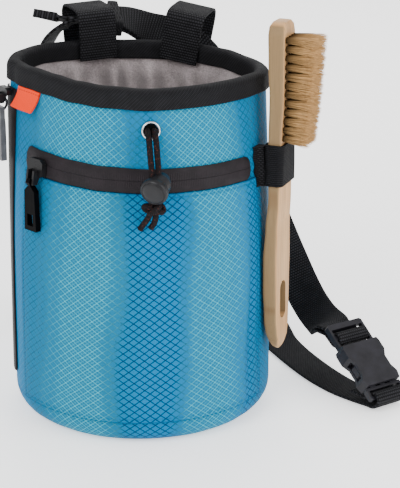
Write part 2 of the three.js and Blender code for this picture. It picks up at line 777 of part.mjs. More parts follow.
// The label hangs from the binding's lower edge and stands away from the wall at its foot.
function labelGeometry() {
  const rows = [0, 0.5, 1];
  const half = (LABEL_WIDTH * HALF * 180) / (Math.PI * RIM_WIDTH * HALF);
  const top = WALL_HEIGHT - BINDING_HEIGHT - FIT;
  const standOff = 3.2;
  const lean = 2.6;
  const grid = (thickness) =>
    rows.map((row) =>
      steps(-half, half, 4).map((across) =>
        wallPoint(
          LABEL_ANGLE + across - lean * row,
          top - LABEL_HEIGHT * row,
          FIT + standOff * row * row + thickness,
        ),
      ),
    );
  return sheetBody(grid(LABEL_WALL), grid(0));
}
piece("side_label", labelGeometry(), LABEL);

// A webbing ribbon through rows of a place, a width direction, a width and a thickness.
function ribbonBody(rows, perRow) {
  const centres = new THREE.CatmullRomCurve3(
    rows.map((row) => row.place),
    false,
    "centripetal",
  );
  const places = rows
    .slice(0, -1)
    .flatMap((row, low) => steps(0, 1, row.parts ?? perRow).slice(0, -1).map((at) => low + at));
  const front = [];
  const back = [];
  for (const at of [...places, rows.length - 1]) {
    const low = Math.min(Math.floor(at), rows.length - 2);
    const between = at - low;
    const share = at / (rows.length - 1);
    const side = rows[low].side.clone().lerp(rows[low + 1].side, between);
    const thickness = THREE.MathUtils.lerp(
      rows[low].thickness ?? WEBBING_WALL,
      rows[low + 1].thickness ?? WEBBING_WALL,
      between,
    );
    const width = THREE.MathUtils.lerp(
      rows[low].width ?? WEBBING_WIDTH,
      rows[low + 1].width ?? WEBBING_WIDTH,
      between,
    );
    const along = centres.getTangent(share);
    side.addScaledVector(along, -side.dot(along)).normalize();
    const face = side.clone().cross(along).normalize();
    const centre = centres.getPoint(share);
    const corner = (across, lift) =>
      centre
        .clone()
        .addScaledVector(side, (across * width) / 2)
        .addScaledVector(face, (lift * thickness) / 2);
    front.push([corner(-1, 1), corner(1, 1)]);
    back.push([corner(-1, -1), corner(1, -1)]);
  }
  return sheetBody(front, back);
}

// Belt loops: each rises from inside the rim, arches back over the belt and comes down outside.
// out and up are millimetres from the binding's top; lean is in degrees to the right.
const BELT_LOOPS = [
  { name: "belt_loop_left", angle: -159.5, lean: -2 },
  { name: "belt_loop_right", angle: 151.5, lean: 10 },
];
const bindingInside = SHELL_WALL + LINING_WALL + 3 * FIT + BINDING_WALL;
const flatOnCurve = 1.3;
const legIn = -bindingInside - FIT - WEBBING_WALL * HALF - flatOnCurve;
const legOut = BINDING_WALL + 2 * FIT + WEBBING_WALL * HALF;
const LOOP_ROUTE = [
  { out: legIn, up: -LOOP_HEIGHT * 0.62 },
  { out: legIn, up: -LOOP_HEIGHT * 0.13 },
  { out: legIn, up: LOOP_HEIGHT * 0.62 },
  { out: legIn + LOOP_DEPTH * 0.02, up: LOOP_HEIGHT * 0.88 },
  { out: legIn + LOOP_DEPTH * 0.11, up: LOOP_HEIGHT },
  { out: legIn + LOOP_DEPTH * 0.52, up: LOOP_HEIGHT * 1.05 },
  { out: legIn + LOOP_DEPTH * 0.9, up: LOOP_HEIGHT },
  { out: legIn + LOOP_DEPTH, up: LOOP_HEIGHT * 0.8 },
  { out: legIn + LOOP_DEPTH * 0.98, up: 0 },
  { out: legIn + LOOP_DEPTH * 0.9, up: -LOOP_HEIGHT * 0.55 },
  { out: legIn + LOOP_DEPTH * 0.87, up: -LOOP_HEIGHT * 0.95 },
  { out: legIn + LOOP_DEPTH * 0.84, up: -LOOP_HEIGHT * 1.45 },
  { out: legOut + LOOP_DEPTH * 0.1, up: -LOOP_HEIGHT * 1.95 },
  { out: legOut + LOOP_DEPTH * 0.015, up: -LOOP_HEIGHT * 2.35 },
];

function loopGeometry({ angle, lean }) {
  const rim = wallPoint(angle, WALL_HEIGHT);
  const along = wallPoint(angle + 4, WALL_HEIGHT).sub(wallPoint(angle - 4, WALL_HEIGHT)).setZ(0);
  along.normalize();
  const outward = along.clone().cross(new THREE.Vector3(0, 0, 1));
  const side = along.clone().applyAxisAngle(outward, radians(lean));
  const top = BINDING_WALL + FIT;
  const rows = LOOP_ROUTE.map(({ out, up }) => {
    const shift = -Math.sin(radians(lean)) * (up + BINDING_HEIGHT);
    const wall = wallPoint(angle, WALL_HEIGHT + Math.min(up, 0));
    const slope = Math.hypot(wall.x, wall.y) - Math.hypot(rim.x, rim.y);
    const place = rim
      .clone()
      .addScaledVector(outward, out + slope)
      .addScaledVector(along, shift)
      .setZ(rim.z + top + up);
    return { place, side };
  });
  return ribbonBody(rows, 2);
}
for (const loop of BELT_LOOPS) piece(loop.name, loopGeometry(loop), WEBBING);

// The brush stands beside the pocket: X runs across its face, Y up and Z out of the bag.
const brushTurn = radians(BRUSH_TURN);
const brush = new THREE.Group();
brush.matrixAutoUpdate = false;
brush.matrix.makeBasis(
  new THREE.Vector3(Math.cos(brushTurn), Math.sin(brushTurn), 0),
  new THREE.Vector3(0, 0, 1),
  new THREE.Vector3(Math.sin(brushTurn), -Math.cos(brushTurn), 0),
);
group.add(brush);

// Cross-sections of the handle. rise: share of its height; width and thick: shares of its width
// and thickness; inner: distance of the inner face, as a share of its thickness.
const BRUSH_SECTIONS = [
  { rise: 0, width: 0.25, inner: 0.42, thick: 0.2 },
  { rise: 0.009, width: 0.46, inner: 0.27, thick: 0.42 },
  { rise: 0.032, width: 0.66, inner: 0.09, thick: 0.68 },
  { rise: 0.06, width: 0.8, inner: -0.03, thick: 0.79 },
  { rise: 0.1, width: 0.88, inner: -0.09, thick: 0.83 },
  { rise: 0.197, width: 0.95, inner: -0.15, thick: 0.87 },
  { rise: 0.291, width: 1, inner: -0.13, thick: 0.84 },
  { rise: 0.386, width: 0.95, inner: -0.035, thick: 0.74 },
  { rise: 0.474, width: 0.905, inner: 0.093, thick: 0.69 },
  { rise: 0.569, width: 0.85, inner: 0.06, thick: 0.745 },
  { rise: 0.657, width: 0.79, inner: 0, thick: 0.81 },
  { rise: 0.776, width: 0.785, inner: 0.035, thick: 0.87 },
  { rise: 0.894, width: 0.785, inner: -0.06, thick: 0.975 },
  { rise: 0.965, width: 0.785, inner: -0.09, thick: 1 },
  { rise: 0.988, width: 0.68, inner: -0.07, thick: 0.95 },
  { rise: 1, width: 0.46, inner: 0.05, thick: 0.75 },
];
const brushLength = BRUSH_TOP - BRUSH_BOTTOM;
const brushRise = (height) => (height - BRUSH_BOTTOM) / brushLength;
const brushSize = (column, height) => lookUp(BRUSH_SECTIONS, "rise", column, brushRise(height));
const brushFace = (height) =>
  BRUSH_OUT + (brushSize("inner", height) + brushSize("thick", height)) * BRUSH_THICKNESS;

// Outline of the handle at a height, grown outwards by a distance.
function brushRing(height, grow) {
  const half = (brushSize("width", height) * BRUSH_WIDTH) / 2 + grow;
  const low = BRUSH_OUT + brushSize("inner", height) * BRUSH_THICKNESS - grow;
  const high = brushFace(height) + grow;
  const bevel = Math.min(half, (high - low) / 2) * 0.35;
  return [
    [-half, low + bevel],
    [-half + bevel, low],
    [half - bevel, low],
    [half, low + bevel],
    [half, high - bevel],
    [half - bevel, high],
    [-half + bevel, high],
    [-half, high - bevel],
  ].map(([across, out]) => new THREE.Vector3(BRUSH_BACK + across, height, out));
}

function brushGeometry() {
  const rings = BRUSH_SECTIONS.map(({ rise }) => brushRing(BRUSH_BOTTOM + rise * brushLength, 0));
  const radius = SLOT_WIDTH * HALF;
  const straight = SLOT_LENGTH * HALF - radius;
  const slot = new THREE.Shape()
    .absarc(0, straight, radius, 0, 2 * QUARTER_TURN)
    .absarc(0, -straight, radius, 2 * QUARTER_TURN, 4 * QUARTER_TURN);
  const bore = plate(slot, BRUSH_OUT * HALF, 4).translate(BRUSH_BACK, SLOT_HEIGHT, BRUSH_OUT);
  return cut(ringBody(rings, false), bore);
}
piece("brush_handle", brushGeometry(), BAMBOO, brush);

// Tufts that widen towards their tips, on a thin backing over the head's outer face.
function bristleGeometry() {
  const backing = 0.8;
  const heights = steps(BRISTLE_BOTTOM, BRISTLE_TOP, 4);
  const half = BRISTLE_SPAN * HALF;
  const grid = (out) =>
    heights.map((height) =>
      [-half, half].map(
        (across) => new THREE.Vector3(BRUSH_BACK + across, height, brushFace(height) + out),
      ),
    );
  const rowPitch = (BRISTLE_TOP - BRISTLE_BOTTOM) / BRISTLE_ROWS;
  const columnPitch = BRISTLE_SPAN / BRISTLE_COLUMNS;
  const root = rowPitch * 0.46;
  const tip = rowPitch * 0.64;
  const shortest = 0.8;
  const tufts = [];
  for (let i = 0; i < BRISTLE_ROWS; i++) {
    const height = BRISTLE_BOTTOM + (i + HALF) * rowPitch;
    const share = THREE.MathUtils.lerp(shortest, 1, i / (BRISTLE_ROWS - 1));
    const length = BRISTLE_LENGTH * share;
    for (let j = 0; j < BRISTLE_COLUMNS; j++) {
      const across = (j + HALF) * columnPitch - half;
      const start = brushFace(height) + FIT + backing * HALF;
      tufts.push(
        new THREE.CylinderGeometry(tip, root, length, 4)
          .rotateY(QUARTER_TURN * HALF)
          .rotateX(QUARTER_TURN)
          .translate(BRUSH_BACK + across, height, start + length / 2),
      );
    }
  }
  return join(sheetBody(grid(FIT + backing), grid(FIT)), ...tufts);
}
piece("brush_bristles", bristleGeometry(), BRISTLE, brush);

// An elastic sleeve round the handle, with a flange that is sewn to the wall beside the pocket.
function holderGeometry() {
  const heights = steps(HOLDER_BOTTOM, HOLDER_BOTTOM + HOLDER_HEIGHT, 4);
  const skin = (grow) => heights.map((height) => brushRing(height, grow));
  const sleeve = ringBody([...skin(FIT + HOLDER_WALL), ...skin(FIT).reverse()], true);
  const flangeStart = PANEL_END + 0.7;
  const stemStart = PANEL_END + 3;
  const stemEnd = PANEL_END + 7;
  const stemWall = 3.9;
  const patch = (start, thickness) =>
    wallPatch(
      steps(start, stemEnd, 3),
      () => HOLDER_BOTTOM,
      () => HOLDER_BOTTOM + HOLDER_HEIGHT,
      2,
      FIT,
      thickness,
    ).applyMatrix4(brush.matrix.clone().invert());
  return join(sleeve, patch(flangeStart, HOLDER_WALL), patch(stemStart, stemWall));
}
piece("brush_holder", holderGeometry(), WEBBING, brush);

// The buckle's own axes: X along its bars, Y from the prong's end up to the ladder, Z up out of
// its face. The origin is the middle of the ladder's top edge.
const BUCKLE_PLACE = new THREE.Vector3(105.9, -2.3, 35.2);
const buckle = new THREE.Group();
const buckleUp = new THREE.Vector3(-0.39, 0.69, 0.61).normalize();
const buckleAcross = new THREE.Vector3(0.86, 0.51, -0.03);
buckleAcross.addScaledVector(buckleUp, -buckleAcross.dot(buckleUp)).normalize();
buckle.matrixAutoUpdate = false;
buckle.matrix
  .makeBasis(buckleAcross, buckleUp, buckleAcross.clone().cross(buckleUp))
  .setPosition(BUCKLE_PLACE);
group.add(buckle);

// An outline drawn from half widths and distances down the buckle, the same on both sides.
const mirrored = (points) =>
  polygon([
    ...points.map(([half, down]) => [half, -down]),
    ...points.toReversed().map(([half, down]) => [-half, -down]),
  ]);
const slotTool = ({ from, to }) =>
  block(-SLOT_SPAN / 2, SLOT_SPAN / 2, -to, -from, -BUCKLE_THICKNESS, BUCKLE_THICKNESS);

function socketGeometry() {
  const ladderHalf = 12;
  const wide = BUCKLE_WIDTH * HALF;
  const waist = 10.4;
  const bevel = 2;
  const ladder = plate(
    mirrored([
      [ladderHalf - bevel * HALF, 0],
      [ladderHalf, bevel * HALF],
      [ladderHalf, LADDER_LENGTH + bevel],
    ]),
    BAR_THICKNESS,
  );
  const housing = plate(
    mirrored([
      [ladderHalf, LADDER_LENGTH],
      [wide, LADDER_LENGTH + bevel],
      [wide, SIDE_WINDOW.from - bevel],
      [waist, SIDE_WINDOW.from + bevel],
      [waist, SIDE_WINDOW.to - bevel],
      [ladderHalf, SIDE_WINDOW.to + bevel],
      [ladderHalf - bevel * HALF, SOCKET_LENGTH],
    ]),
    BUCKLE_THICKNESS,
  );
  const thin = CAVITY_THICKNESS * HALF;
  const half = CAVITY_WIDTH * HALF;
  return cut(
    join(ladder, housing),
    ...LADDER_SLOTS.map(slotTool),
    block(-half, half, -SOCKET_LENGTH - FIT, -CAVITY_TOP, -thin, thin),
    block(-wide, wide, -SIDE_WINDOW.to, -SIDE_WINDOW.from, -thin, thin),
  );
}
piece("buckle_socket", socketGeometry(), PLASTIC, buckle);

// Half of the prong: half widths and distances down the buckle, round one spring arm.
const PRONG_ARM = [
  { half: 5, down: 40.85 },
  { half: 5, down: 21.5 },
  { half: 6.5, down: 20 },
  { half: 8.7, down: 20.6 },
  { half: 8.7, down: 24.6 },
  { half: 10.3, down: 26.5 },
  { half: 10.3, down: 32 },
  { half: 8.7, down: 33.5 },
  { half: 8.7, down: 40.85 },
];

function prongGeometry() {
  const shoulder = SOCKET_LENGTH + FIT;
  const clearance = 0.4;
  const thickness = CAVITY_THICKNESS - 2 * clearance;
  const half = 12;
  const bevel = 1;
  const body = plate(
    mirrored([
      [half - bevel * HALF, shoulder],
      [half, shoulder + bevel],
      [half, BUCKLE_LENGTH - bevel],
      [half - bevel, BUCKLE_LENGTH],
    ]),
    BAR_THICKNESS,
  );
  const right = plate(polygon(PRONG_ARM.map(({ half: x, down }) => [x, -down])), thickness);
  const left = right.clone().rotateY(2 * QUARTER_TURN);
  const guide = block(
    -GUIDE_WIDTH * HALF,
    GUIDE_WIDTH * HALF,
    -shoulder - bevel * HALF,
    -SIDE_WINDOW.from,
    -thickness * HALF,
    thickness * HALF,
  );
  return cut(join(body, right, left, guide), slotTool(PRONG_SLOT));
}
piece("buckle_prong", prongGeometry(), PLASTIC, buckle);

// The belt: one strap from its hemmed end on the left, through both belt loops and down to the
// ladder, back up beside itself, then down behind the bag and round on the floor to the prong.
// Places are millimetres; side is the direction across the strap.
const PAIR_ROUTE = [
  { place: [-32, 54.6, 188.8], side: [0.1, 0.945, -0.33] },
  { place: [-20, 59.6, 189.4], side: [0, 0.996, 0.09] },
  { place: [-3, 62.2, 188], side: [0, 0.92, 0.4] },
  { place: [14, 63.8, 180.8], side: [0, 0.59, 0.81] },
  { place: [28, 59.6, 176.6], side: [0.55, 0.41, 0.72] },
  { place: [41, 56.5, 164.6], side: [0.92, 0.08, 0.38] },
  { place: [54, 58.5, 138], side: [0.8, 0.5, 0.35] },
  { place: [66, 59, 108], side: [0.6, 0.7, 0.38] },
  { place: [78, 57.5, 76], side: [0.72, 0.42, 0.55] },
  { place: [89, 54, 48], side: [0.77, 0.16, 0.62] },
  { place: [96, 42, 32.5], side: [0.72, 0.15, 0.68] },
  { place: [100.5, 24, 27.5], side: [0.72, 0.3, 0.6] },
];
const TAIL_END = [
  { place: [-49.5, 59, 193.2], side: [0.05, 0.98, -0.2], thickness: HEM_THICKNESS, parts: 1 },
  { place: [-38.2, 57.3, 190.9], side: [0.1, 0.96, -0.25], thickness: HEM_THICKNESS, parts: 1 },
  { place: [-36.8, 57.1, 190.6], side: [0.1, 0.95, -0.3], parts: 1 },
];
// Through the ladder: distance down the buckle and height over its face.
const LADDER_ROUTE = [
  { down: -4.4, height: -6.4 },
  { down: 0, height: -3 },
  { down: 3.8, height: -2.7 },
  { down: 5.3, height: -0.6 },
  { down: 5.6, height: 1.2 },
  { down: 6.9, height: 2.8 },
  { down: 8.4, height: 3.05 },
  { down: 10.2, height: 2.6 },
  { down: 11.4, height: 1.1 },
  { down: 11.4, height: -1.5 },
  { down: 9.5, height: -4.4 },
  { down: 5, height: -5.1 },
  { down: 1.4, height: -5.5 },
  { down: -3, height: -8.6 },
];
const BACK_ROUTE = [
  { place: [-38.4, 55.4, 183.8], side: [0.11, 0.94, -0.33] },
  { place: [-44.5, 66, 172], side: [0.12, 0.93, -0.33] },
  { place: [-53, 80, 150], side: [0.1, 0.97, -0.1] },
  { place: [-58, 100, 105], side: [0.1, 0.97, 0.15] },
  { place: [-59, 118, 55], side: [0.1, 0.97, 0.2] },
  { place: [-55, 130, 22], side: [0, 0.98, 0.2] },
  { place: [-42, 139, 7.5], side: [-0.05, 0.95, 0.32] },
  { place: [-22, 148, 8.6], side: [0, 0.75, 0.66] },
  { place: [8, 155, 10.9], side: [0.1, 0.3, 0.95] },
  { place: [40, 145, 11], side: [0.25, 0.15, 0.96] },
  { place: [62, 122, 10.5], side: [0.45, 0.2, 0.87] },
  { place: [74, 97, 8.4], side: [0.7, 0.3, 0.64] },
  { place: [80, 77, 4.4], side: [0.88, 0.34, 0.3] },
  { place: [83, 58, 1.9], side: [0.94, 0.33, 0.05] },
  { place: [87, 42, 1.3], side: [0.95, 0.3, 0] },
  { place: [92.5, 23.5, 1.2], side: [0.93, 0.36, 0] },
  { place: [98.4, 7, 1.2], side: [0.89, 0.45, 0] },
  { place: [106, -9, 1.2], side: [0.87, 0.49, -0.02] },
  { place: [113, -19.5, 1.4], side: [0.86, 0.5, -0.03] },
];
// Round the prong's end bar and back along the strap, to the sewn end.
const PRONG_ROUTE = [
  { down: 45, height: -7.6 },
  { down: 48.6, height: -4.4 },
  { down: 50, height: -1.4 },
  { down: 49.6, height: 1.6 },
  { down: 47.6, height: 3.1 },
  { down: 45.3, height: 2.9 },
  { down: 43.6, height: 1.1 },
  { down: 43.4, height: -2 },
  { down: 42.4, height: -4.8 },
  { down: 39, height: -7.4 },
  { down: 33.6, height: -11.2 },
];

const freeRow = ({ place, side, ...rest }) => ({
  place: new THREE.Vector3(...place),
  side: new THREE.Vector3(...side).normalize(),
  ...rest,
});
const pairRows = PAIR_ROUTE.map(freeRow);
const pairMiddle = new THREE.CatmullRomCurve3(
  pairRows.map((row) => row.place),
  false,
  "centripetal",
);

function beltGeometry() {
  const inBuckle = ({ down, height }) => ({
    place: new THREE.Vector3(0, -down, height).applyMatrix4(buckle.matrix),
    side: buckleAcross.clone(),
    parts: 1,
  });
  const layer = (lift) =>
    pairRows.map((row, i) => {
      const towardsLeft = pairMiddle.getTangent(i / (pairRows.length - 1)).negate();
      const face = row.side.clone().cross(towardsLeft).normalize();
      const place = row.place.clone().addScaledVector(face, lift * LAYER_PITCH);
      return { place, side: row.side };
    });
  return ribbonBody(
    [
      ...TAIL_END.map(freeRow),
      ...layer(HALF),
      ...LADDER_ROUTE.map(inBuckle),
      ...layer(-HALF).toReversed(),
      ...BACK_ROUTE.map(freeRow),
      ...PRONG_ROUTE.map(inBuckle),
    ],
    2,
  );
}
piece("belt", beltGeometry(), WEBBING);

// A sleeve that keeps both layers of the belt together between the belt loops.
function keeperGeometry() {
  const after = 1;
  const share = 0.73;
  const at = (after + share) / (pairRows.length - 1);
  const along = pairMiddle.getTangent(at);
  const side = pairRows[after].side.clone().lerp(pairRows[after + 1].side, share);
  side.addScaledVector(along, -side.dot(along)).normalize();
  const across = WEBBING_WIDTH * HALF + 3 * FIT;
  const lift = (LAYER_PITCH + WEBBING_WALL) * HALF + 4 * FIT;
  const box = (grow, length) =>
    new THREE.BoxGeometry(2 * (across + grow), length, 2 * (lift + grow));
  return cut(box(KEEPER_WALL, KEEPER_LENGTH), box(0, 2 * KEEPER_LENGTH)).applyMatrix4(
    new THREE.Matrix4()
      .makeBasis(side, along, side.clone().cross(along))
      .setPosition(pairMiddle.getPoint(at)),
  );
}
piece("belt_keeper", keeperGeometry(), WEBBING);

export default group;
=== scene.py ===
"""Climbing chalk bag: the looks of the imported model, laid out as an add-on and run as a script.

Shapes are surfaces worked out as whole arrays in millimetres and put into meshes in metres.
"""

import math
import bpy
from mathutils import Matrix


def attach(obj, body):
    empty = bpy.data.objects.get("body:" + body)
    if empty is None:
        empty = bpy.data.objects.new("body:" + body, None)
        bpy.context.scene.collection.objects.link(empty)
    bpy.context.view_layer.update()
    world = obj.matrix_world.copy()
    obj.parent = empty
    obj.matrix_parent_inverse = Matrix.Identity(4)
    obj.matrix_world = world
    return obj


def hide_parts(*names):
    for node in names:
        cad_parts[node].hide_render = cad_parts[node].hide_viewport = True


bl_info = {
    "name": "Chalk Bag",
    "version": (1, 0, 0),
    "blender": (4, 5, 0),
    "location": "3D View > Sidebar > Chalk Bag",
    "description": "Builds the cloth, webbing, cords and brush of a climbing chalk bag",
    "category": "Object",
}

import bpy
import numpy as np
from bpy.props import FloatProperty, FloatVectorProperty, IntProperty, PointerProperty
from mathutils import Euler

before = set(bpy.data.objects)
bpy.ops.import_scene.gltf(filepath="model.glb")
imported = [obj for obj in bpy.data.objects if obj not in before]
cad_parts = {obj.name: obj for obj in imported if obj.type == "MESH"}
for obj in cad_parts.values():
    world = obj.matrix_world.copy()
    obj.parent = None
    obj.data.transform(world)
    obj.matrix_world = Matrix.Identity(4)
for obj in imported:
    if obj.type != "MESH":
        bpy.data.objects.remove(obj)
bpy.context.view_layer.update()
MM = 0.001

# Sizes shared with the solids
BAG_HEIGHT, BASE_DIAMETER, RIM_WIDTH, RIM_DEPTH = 179.0, 132.6, 130.0, 112.0
BOTTOM_RADIUS, SHELL_WALL, PANEL_WALL, LINING_WALL = 12.0, 1.5, 1.0, 1.7
BINDING_WALL, BINDING_HEIGHT, FIT, TAPER_POWER = 1.4, 7.8, 0.35, 2.3
BASE_RADIUS = BASE_DIAMETER / 2
WALL_HEIGHT = BAG_HEIGHT - BINDING_WALL - FIT
TAPE_WIDTH, TAPE_WALL = 11.7, 1.1
FRONT_ZIP_HEIGHT, FRONT_ZIP_TILT, FRONT_ZIP_START, FRONT_ZIP_END = 135.8, 0.02, -67.5, 53.0
SIDE_ZIP_ANGLE, SIDE_ZIP_TOP, SIDE_ZIP_BOTTOM = -87.5, 166.0, 20.0
PANEL_START, PANEL_END, PANEL_BOTTOM_SHARE = -68.0, 57.0, 0.075
EYELET_HEIGHT, EYELET_DIAMETER, EYELET_BORE = 160.0, 9.3, 6.6
LABEL_WIDTH, LABEL_HEIGHT, LABEL_WALL, LABEL_ANGLE = 20.0, 10.0, 0.9, -69.0
WEBBING_WIDTH, WEBBING_WALL, LAYER_PITCH = 20.0, 1.5, 2.1
LOOP_HEIGHT, LOOP_DEPTH, HEM_THICKNESS, KEEPER_LENGTH = 15.4, 28.0, 4.4, 5.0
BRUSH_TOP, BRUSH_BOTTOM, BRUSH_WIDTH, BRUSH_THICKNESS = 204.0, 34.7, 21.0, 8.6
BRUSH_TURN, BRUSH_OUT, BRUSH_BACK, BRUSH_CORNER = 60.5, 68.0, 9.3, 1.2
SLOT_LENGTH, SLOT_WIDTH, SLOT_HEIGHT = 20.0, 8.0, 60.8
BRISTLE_LENGTH, BRISTLE_TOP, BRISTLE_BOTTOM, BRISTLE_SPAN = 16.5, 198.0, 144.4, 14.6
HOLDER_HEIGHT, HOLDER_BOTTOM, HOLDER_WALL = 20.6, 123.0, 1.2
LOCK_FRONT, LOCK_AXIS = (-1.6, -78.2, 134.4), (0.45, 0.84, 0.3)
LOCK_RADIUS, LOCK_LENGTH, LOCK_LIP, LOCK_BODY_SHARE = 6.8, 9.6, 3.6, 0.84
BUTTON_RADIUS, BUTTON_LENGTH = 4.5, 3.6
KNOT_CENTRE, KNOT_SCALE, KNOT_CORD_RADIUS = (-0.4, -71.2, 125.2), (1.62, 1.0, 1.5), 1.5

# The rim: angle from the front in degrees, reach and lift as shares.
RIM_SHAPE = np.array([
    (-180, 1.0, 0.001), (-150, 1.0, 0.01), (-115, 0.985, 0.021), (-100, 1.0, 0.024),
    (-90, 1.01, 0.021), (-82, 0.965, 0.018), (-66, 0.935, 0.019), (-54, 0.942, 0.016),
    (-38, 0.972, 0.009), (-22, 0.993, 0.003), (0, 1.0, -0.004), (25, 0.99, -0.004),
    (42, 0.968, -0.006), (60, 0.97, -0.008), (78, 0.995, -0.012), (95, 0.993, -0.017),
    (110, 0.98, -0.016), (126, 1.0, -0.011), (150, 1.0, -0.003), (180, 1.0, 0.001)])
# Dents of the solids: angle, width, height share, span, depth share, lean.
DENTS = [
    (2, 9, 0.42, 0.25, 0.014, 16), (38, 10, 0.5, 0.22, 0.018, -18), (52, 9, 0.24, 0.1, 0.016, 20),
    (-46, 11, 0.5, 0.3, 0.013, 10), (21, 10, 0.2, 0.12, -0.008, 0), (-22, 12, 0.45, 0.3, -0.01, 6),
    (140, 18, 0.5, 0.25, 0.02, 12), (-140, 18, 0.45, 0.25, 0.02, -10)]
# Finer folds that only the cloth has: the same columns, depth in millimetres.
FOLDS = [
    (14, 3.2, 0.52, 0.2, 0.9, 14), (19, 4, 0.5, 0.2, -0.7, 14), (-7, 4, 0.36, 0.16, 0.45, 22),
    (49, 2.6, 0.3, 0.17, 1.1, 10), (44.5, 3.4, 0.33, 0.2, -0.9, 10), (-57, 3, 0.42, 0.22, 0.7, 8),
    (-30, 5, 0.24, 0.12, -0.5, -20), (31, 4, 0.14, 0.07, 0.6, 60), (5, 5, 0.12, 0.05, 0.5, -90),
    (-38, 4, 0.13, 0.06, 0.6, 70), (-12, 4, 0.93, 0.04, 0.5, 30), (24, 4, 0.91, 0.05, 0.5, -40),
    (100, 5, 0.5, 0.3, 1.0, 8), (170, 5, 0.5, 0.3, 1.0, -8), (-110, 5, 0.4, 0.3, 0.9, 10),
    (122, 5, 0.3, 0.2, -0.8, -12), (-160, 5, 0.6, 0.2, 0.8, 12)]
# How the grid's threads catch the light round the bag, painted into the colour: angle, glint low down, glint
# above the pocket, and tone, the painted shade that turns the cloth between them from its lit to its shaded
# colour, low down and above.
CLOTH_ZONES = np.array([
    (-180, 0.3, 0.3, 0.4, 0.4), (-140, 0.8, 0.7, 0.2, 0.2), (-110, 0.2, 0.3, 0.6, 0.6),
    (-80, 0.05, 0.1, 1.0, 0.8), (-66, 0.1, 0.2, 0.55, 0.5), (-54, 0.15, 0.7, 0.45, 0.3),
    (-46, 0.45, 0.95, 0.3, 0.1), (-38, 0.95, 1.0, 0.05, 0.05), (-24, 1.0, 1.0, 0.0, 0.1),
    (-17, 0.35, 0.7, 0.2, 0.3), (-11, 0.0, 0.2, 0.6, 0.7), (0, 0.0, 0.15, 1.0, 0.85),
    (9, 0.0, 0.6, 1.0, 0.5), (13, 0.15, 0.9, 0.9, 0.25), (18, 0.75, 0.95, 0.35, 0.15),
    (30, 0.95, 0.95, 0.2, 0.2), (38, 0.75, 0.9, 0.5, 0.2), (44, 0.35, 0.5, 0.9, 0.45),
    (49, 0.0, 0.1, 0.9, 0.75), (56, 0.0, 0.1, 0.6, 0.75),
    (75, 0.1, 0.1, 0.85, 0.85), (110, 0.7, 0.6, 0.3, 0.3), (150, 0.2, 0.2, 0.6, 0.6),
    (180, 0.3, 0.3, 0.4, 0.4)])
# Heights between which the cloth's zones change from those of the pocket to those above it.
POCKET_TOP_BAND = (126, 142)
# Folds of the lining: angle, width in degrees, depth in millimetres.
FLEECE_FOLDS = [
    (165, 7, 3.0), (-172, 6, 2.2), (142, 8, 2.6), (-150, 7, 2.4), (185, 5, 1.6), (118, 9, 2.2),
    (-125, 9, 2.2), (-100, 8, 1.6), (95, 8, 1.6), (30, 10, 1.5), (-30, 10, 1.5)]
# Seam of the pocket: millimetres along the wall in one degree, stitch pitch, inset of the stitches.
MM_PER_DEGREE, STITCH_PITCH, STITCH_INSET = 1.157, 3.0, 2.2
# Cross-sections of the brush handle: rise, width, inner face and thickness, as shares.
BRUSH_SECTIONS = np.array([
    (0, 0.25, 0.42, 0.2), (0.009, 0.46, 0.27, 0.42), (0.032, 0.66, 0.09, 0.68),
    (0.06, 0.8, -0.03, 0.79), (0.1, 0.88, -0.09, 0.83), (0.197, 0.95, -0.15, 0.87),
    (0.291, 1, -0.13, 0.84), (0.386, 0.95, -0.035, 0.74), (0.474, 0.905, 0.093, 0.69),
    (0.569, 0.85, 0.06, 0.745), (0.657, 0.79, 0, 0.81), (0.776, 0.785, 0.035, 0.87),
    (0.894, 0.785, -0.06, 0.975), (0.965, 0.785, -0.09, 1), (0.988, 0.68, -0.07, 0.95),
    (1, 0.46, 0.05, 0.75)])

# Routes of the belt: place and direction across, in millimetres.
PAIR_ROUTE = [
    ((-32, 54.6, 188.8), (0.1, 0.945, -0.33)), ((-20, 59.6, 189.4), (0, 0.996, 0.09)),
    ((-3, 62.2, 188), (0, 0.92, 0.4)), ((14, 63.8, 180.8), (0, 0.59, 0.81)),
    ((28, 59.6, 176.6), (0.55, 0.41, 0.72)), ((41, 56.5, 164.6), (0.92, 0.08, 0.38)),
    ((54, 58.5, 138), (0.8, 0.5, 0.35)), ((66, 59, 108), (0.6, 0.7, 0.38)),
    ((78, 57.5, 76), (0.72, 0.42, 0.55)), ((89, 54, 48), (0.77, 0.16, 0.62)),
    ((96, 42, 32.5), (0.72, 0.15, 0.68)), ((100.5, 24, 27.5), (0.72, 0.3, 0.6))]
TAIL_END = [
    ((-49.5, 59, 193.2), (0.05, 0.98, -0.2), HEM_THICKNESS),
    ((-38.2, 57.3, 190.9), (0.1, 0.96, -0.25), HEM_THICKNESS),
    ((-36.8, 57.1, 190.6), (0.1, 0.95, -0.3), WEBBING_WALL)]
LADDER_ROUTE = [
    (-4.4, -6.4), (0, -3), (3.8, -2.7), (5.3, -0.6), (5.6, 1.2), (6.9, 2.8), (8.4, 3.05),
    (10.2, 2.6), (11.4, 1.1), (11.4, -1.5), (9.5, -4.4), (5, -5.1), (1.4, -5.5), (-3, -8.6)]
